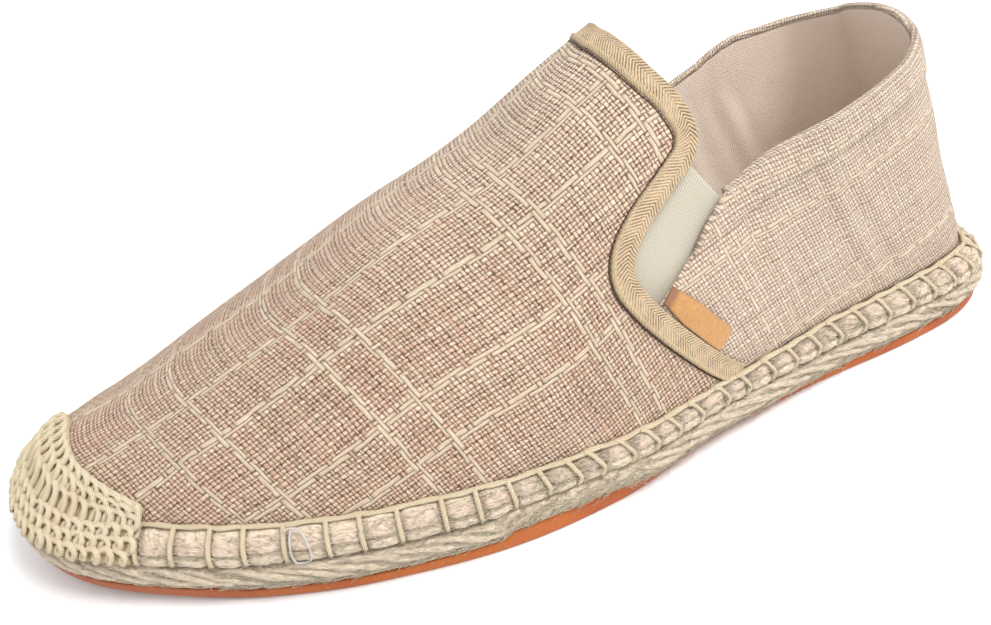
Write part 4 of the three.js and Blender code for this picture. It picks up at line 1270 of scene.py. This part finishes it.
def makeBinding(c):
    first, last = bindingRange()
    at = np.linspace(first, last, c["steps"])
    lip = mix(0, c["lip"], smooth((2 * np.minimum(at, 1 - at) - 0.36) / 0.1))
    profile = bindingProfile(c)
    rings = [fromEdge(at, across + 0 * at, depth * lip if useLip else depth) for across, depth, useLip in profile]
    rings = np.stack(rings, 1)
    width = along(rings)
    run = np.broadcast_to(along(rings[:, 5])[:, None], width.shape)
    distance = np.array(profile)[:, 0]
    bead = smooth((distance - 3.2) / 0.3) + 0.8 * smooth((-0.9 - distance) / 0.3)
    bead = np.broadcast_to(bead, width.shape)
    bar = bars(rings[None], rings[[0, -1]].mean(1), np.stack([run, width], -1))
    makeMesh("binding_tape", *bar, {"bead": np.r_[bead.ravel(), 0, 0]})
    # The dark tube along the tape is the brown thread together with painted seam shadow.
    seam = fromEdge(at, 4.85 + 0 * at, -c["under"])
    makeTubes("binding_thread", [tube(seam[None], c["seam"], 6)])


makeBinding(tapeCut)
print("stage: binding")


# Edge cord along the feather line and the blanket stitches that go down from it.
def makeStitches(c):
    angle = np.linspace(angleOf(c["firstAt"]) + c["under"], -angleOf(c["lastAt"]) - c["under"], c["steps"])
    p = insetPoint(angle, rimOf(angle) - 0.55)
    run = along(p)
    wobble = ripple(run, 4.2, 51) * 0.5
    high = topAt(stationAtY(p[:, 1])) + 0.85 + wobble * 0.5
    line = atHeight(insetPoint(angle, rimOf(angle) - 0.65 + wobble), high)
    makeTubes("edge_yarn", [tube(line[None], c["thick"] * (1 + 0.12 * np.sin(run / 1.3)), 10)])
    rng = np.random.default_rng(c["seed"])
    paths = []
    t = np.linspace(0, 1, 22)
    for a in stitchAt:
        at = float(stationOf(a))
        bent = float(smooth((0.62 - at) / 0.14)) * 4.2
        swing = np.gradient(outline(np.array([a - 0.01, a, a + 0.01])), 0.01, axis=0)[1]
        perAngle = 1 / np.linalg.norm(swing)
        # Toe-ward lead at the top of a bent stitch, none at its foot.
        lead = bent * (1 - np.sin(pi / 2 * np.minimum(t * 1.35, 1))) + 0.3 * bent * smooth((t - 0.6) / 0.5)
        lead = (lead + rng.uniform(-0.3, 0.3)) * perAngle * np.sign(a)
        lift = 1 - (0.455 + rng.uniform(-0.02, 0.02)) * t ** 1.25
        edge = insetPoint(a + lead, rimOf(a + lead) - 0.75)
        side = ropePoint(a + lead, lift, 0.35 + 0 * lift)
        path = mix(onTop(edge, 1.0), side, smooth(t / 0.4)[:, None])
        end = smooth((t - 0.9) / 0.1)[:, None]
        paths.append(path - end * (side - ropePoint(a + lead, lift, -0.8 + 0 * lift)))
    makeTubes("blanket_stitches", [tube(np.array(paths), c["thick"] * 0.95, 8)])


makeStitches(stitchCut)
print("stage: stitches")


# Loose fibres of the rope, lying along it and lifting at their ends, and a fringe over the rubber.
fibreCut = {"count": 3300, "radius": 0.115, "steps": 6, "long": 8.5, "seed": 91}


def makeFibres(c):
    rng = np.random.default_rng(c["seed"])
    n = c["count"]
    ring = np.linspace(-pi, pi, 2000)
    length = along(outline(ring))
    spot = rng.uniform(0, length[-1], n)
    low = rng.uniform(size=n) < 0.55
    lift = np.where(low, rng.uniform(-0.04, 0.52, n), rng.uniform(0.56, 0.95, n))
    heading = rng.choice([-1, 1], n) * np.where(low, rng.normal(0.3, 0.35, n), rng.normal(0.0, 0.45, n))
    size = c["long"] * rng.uniform(0.4, 1.3, n)
    bend, rise = rng.normal(0, 0.9, n), rng.gamma(1.6, 0.28, n)
    t = np.linspace(0, 1, c["steps"])[None]
    run = spot[:, None] + size[:, None] * np.cos(heading)[:, None] * (t - 0.5)
    high = lift[:, None] * ropeHigh + size[:, None] * np.sin(heading)[:, None] * (t - 0.5) + bend[:, None] * t * t
    angle = np.interp(run % length[-1], length, ring)
    stand = 0.25 + rise[:, None] * t ** 2 * 1.1
    paths = ropePoint(angle, np.clip(high / ropeHigh, -0.13, 0.97), stand)
    makeTubes("loose_fibres", [tube(paths, c["radius"] * (1.15 - 0.6 * t), 3)])


makeFibres(fibreCut)


# A stray end of white thread stuck on the rope at the outer side of the forefoot.
strayCut = {"station": 0.757, "lift": 0.8, "wide": 2.4, "high": 4.4, "thick": 0.24, "stands": 1.5}


def makeStray(c):
    t = np.linspace(0, 1, 60)
    turn = 2 * pi * (0.95 * t + 0.12)
    curl = np.stack([c["wide"] * np.sin(turn) + 2.4 * t ** 4, c["high"] * np.cos(turn) * (1 - 0.3 * t)], -1)
    angle = angleOf(c["station"] + curl[:, 0] / soleSizes["length"])
    path = ropePoint(angle, c["lift"] + curl[:, 1] / ropeHigh, c["stands"] + 0.2 * np.sin(9 * t))
    makeTubes("stray_thread", [tube(path[None], c["thick"], 6)])


makeStray(strayCut)
print("stage: fibres")


# Toe wrap: a close bed of yarn under rows of small loops. Ends are stations, rows are shares of the way
# from the rope's side up to the vamp.
wrapCut = {
    "drop": 7, "reach": 10, "endReach": 1.4, "outerEnd": 0.89, "innerEnd": 0.964, "turn": 0.6, "bridge": 400,
    "bedEnd": 0.97, "bedFrom": 0.13, "columns": 240, "rows": 60,
}
loopCut = {
    "rows": [0.21, 0.35, 0.49, 0.63, 0.77, 0.91], "pitch": 3.7, "reach": 1.75, "half": 0.08, "lean": 0.7,
    "thick": 0.78, "steps": 16, "line": 600, "rimThick": 0.6, "seed": 71,
}


def vampHeight(x, y):
    # Halving search for the section through the point; then the height of that section there.
    low, high = np.full(np.shape(x), pi / 2), np.full(np.shape(x), pi)
    across = np.zeros(np.shape(x))
    for _ in range(24):
        angle = (low + high) / 2
        outer, inner = insetPoint(angle, rimOf(angle)), insetPoint(-angle, rimOf(angle))
        half = np.maximum((outer[..., 0] - inner[..., 0]) / 2, 0.01)
        across = np.clip((x - (outer[..., 0] + inner[..., 0]) / 2) / half, -1, 1)
        ahead = (outer[..., 1] + inner[..., 1]) / 2 + (outer[..., 1] - inner[..., 1]) / 2 * across > y
        low, high = np.where(ahead, angle, low), np.where(ahead, high, angle)
    crown = np.maximum(1 - np.abs(across) ** 2.4, 0) ** (1 / 1.7)
    return topAt(stationAtY(y)) + seatGap + sectionHeight(low, 0) * crown


def wrapAngle(around):
    end = np.where(around >= 0, angleOf(wrapCut["outerEnd"]), angleOf(wrapCut["innerEnd"]))
    return np.where(around >= 0, 1, -1) * mix(pi, end, np.abs(around))


def wrapPoint(around, up, offset):
    # around from -1 at the inner end to 1 at the outer one, up from the rope's side to the vamp: a quarter
    # turn over the rope's rim, then along the vamp.
    angle = wrapAngle(around)
    rim, turn = rimOf(angle), wrapCut["turn"]
    phi = np.minimum(up / turn, 1) * pi / 2
    reach = mix(wrapCut["reach"], wrapCut["endReach"], np.abs(around) ** 2)
    low = insetPoint(angle, rim * (1 - np.cos(phi)) - offset * np.cos(phi))
    high = insetPoint(angle, rim + reach * np.maximum(up - turn, 0) / (1 - turn))
    high = atHeight(high, vampHeight(high[..., 0], high[..., 1]) + offset)
    low = onTop(low, offset * np.sin(phi) - wrapCut["drop"] * (1 - np.sin(phi)))
    return np.where((up > turn)[..., None], high, low)


def wrapBed():
    # Taut surface over the rope's rim and the toe: hollows along each column are bridged.
    low = wrapCut["bedFrom"] - 0.03
    around, up = grid(np.linspace(-1, 1, wrapCut["columns"]), np.linspace(low, 1, wrapCut["rows"]))
    points = wrapPoint(around, up, 0.2)
    core = atHeight(insetPoint(wrapAngle(around), 20 + 0 * around), 8)
    out = unit(points - core)
    for _ in range(wrapCut["bridge"]):
        gap = dot((points[:, :-2] + points[:, 2:]) / 2 - points[:, 1:-1], out[:, 1:-1])
        points[:, 1:-1] += out[:, 1:-1] * np.maximum(gap, 0)[..., None]
    return around[:, 0], up[0], points, out


def onBed(bed, around, up, lift):
    point, out = (readTable(table, around, up, bed[0], bed[1]) for table in bed[2:])
    return point + out * np.asarray(lift)[..., None]


def makeWrap(c):
    bed = wrapBed()
    around, up = grid(np.linspace(-wrapCut["bedEnd"], wrapCut["bedEnd"], wrapCut["columns"] - 4), bed[1])
    x, y = around * 60, up * 22
    outside = onBed(bed, around, up, 0.45 + grain(x, y, 1.0, 1.0, 61) * 0.5)
    # The bed's darker material is painted shade under the loops.
    shell("wrap_bed", outside, wrapPoint(around, up, 0.1), np.stack([x, y], -1))
    rng = np.random.default_rng(c["seed"])
    groups = []
    for index, row in enumerate(c["rows"]):
        line = np.linspace(-1, 1, c["line"])
        length = along(onBed(bed, line, row + 0 * line, 1.3 + 0 * line))
        count = int(length[-1] / c["pitch"])
        turnAt = np.arange(count * c["steps"]) / c["steps"] * 2 * pi
        loop = (turnAt / (2 * pi)).astype(int)
        wide, tall, shiftUp = (rng.uniform(-1, 1, count + 1)[loop] for _ in range(3))
        s = turnAt / (2 * pi) * c["pitch"] + c["reach"] * (1 + 0.25 * wide) * np.sin(turnAt) + index * 1.3
        s += c["lean"] * np.cos(turnAt)
        level = row + c["half"] * (1 + 0.15 * tall) * np.cos(turnAt) + 0.01 * shiftUp
        lift = 1.2 + 0.55 * np.sin(turnAt + 0.7) + 0.3 * ripple(turnAt * 3, 4.0, 80)
        spot = np.interp(np.clip(s, 0, length[-1]), length, line)
        path = onBed(bed, spot, np.clip(level, wrapCut["bedFrom"] - 0.02, 0.985), lift)
        groups.append(tube(path[None], c["thick"] * (1 + 0.1 * np.sin(turnAt * 0.37)), 8))
    makeTubes("wrap_loops", groups)
    line = np.linspace(-0.99, 0.99, 260)
    rim = onBed(bed, line, 0.99 + 0 * line, 0.7 + 0 * line)
    makeTubes("wrap_rim", [tube(rim[None], c["rimThick"], 8)])


makeWrap(loopCut)
print("stage: toe wrap")


# Bare tab on the outer side.
tabCut = {"length": 24, "width": 6.6, "at": 0.3795, "up": 0.312, "tilt": 0.9}


def makeLabel(c):
    u, v = grid(np.linspace(-0.5, 0.5, 60), np.linspace(-0.5, 0.5, 24))
    narrow = 1 - 0.28 * smooth((u - 0.1) / 0.4)
    x, y = u * c["length"], v * narrow * c["width"]
    run = x * math.cos(c["tilt"]) - y * math.sin(c["tilt"])
    up = x * math.sin(c["tilt"]) + y * math.cos(c["tilt"])
    angle = angleOf(c["at"] + run / soleSizes["length"])
    high = c["up"] * upperSizes["collar"] + up
    curl = 0.35 * np.cos(pi * u) + 0.18 * np.cos(pi * v) ** 0.5 + 0.1 * np.sin(7 * u + 4 * v)
    outside, inside = (quarterPoint(angle, high, depth - curl) for depth in (-0.25, 0.15))
    # Painted shade at the folded front end and along both edges.
    fold = 0.85 * smooth((u - 0.37) / 0.08) + 0.35 * smooth((np.abs(v) - 0.4) / 0.08)
    shell("bare_tab", outside, inside, np.stack([x, v * c["width"]], -1), {"fold": share(fold)})


makeLabel(tabCut)


# Floor, light and world.
def makeStage():
    bpy.ops.mesh.primitive_plane_add(size=6, location=(0, 0, -0.0002))
    floor = bpy.context.object
    floor.name = "pale_floor"
    floor.data.materials.append(newMaterial("paleFloor", floorColor, 0.85, 0.0, 0.1))


def areaLight(name, spot, aim, size, power):
    data = bpy.data.lights.new(name, "AREA")
    data.shape, data.size, data.energy = "DISK", size, power
    lamp = bpy.data.objects.new(name, data)
    lamp.location = spot
    lamp.rotation_euler = (Vector(aim) - Vector(spot)).to_track_quat("-Z", "Y").to_euler()
    bpy.context.scene.collection.objects.link(lamp)


def makeLight():
    world = bpy.data.worlds.new("studio")
    bpy.context.scene.world = world
    world.use_nodes = True
    background = world.node_tree.nodes["Background"]
    background.inputs["Color"].default_value = (1, 1, 1, 1)
    background.inputs["Strength"].default_value = 0.95
    areaLight("key", (0.45, 0.52, 1.15), (0, 0.02, 0.04), 0.6, 13.5)
    areaLight("fill", (0.75, 0.0, 1.0), (0, 0.03, 0.05), 0.9, 1.6)


makeStage()
makeLight()
bpy.context.scene.view_settings.view_transform = "Standard"
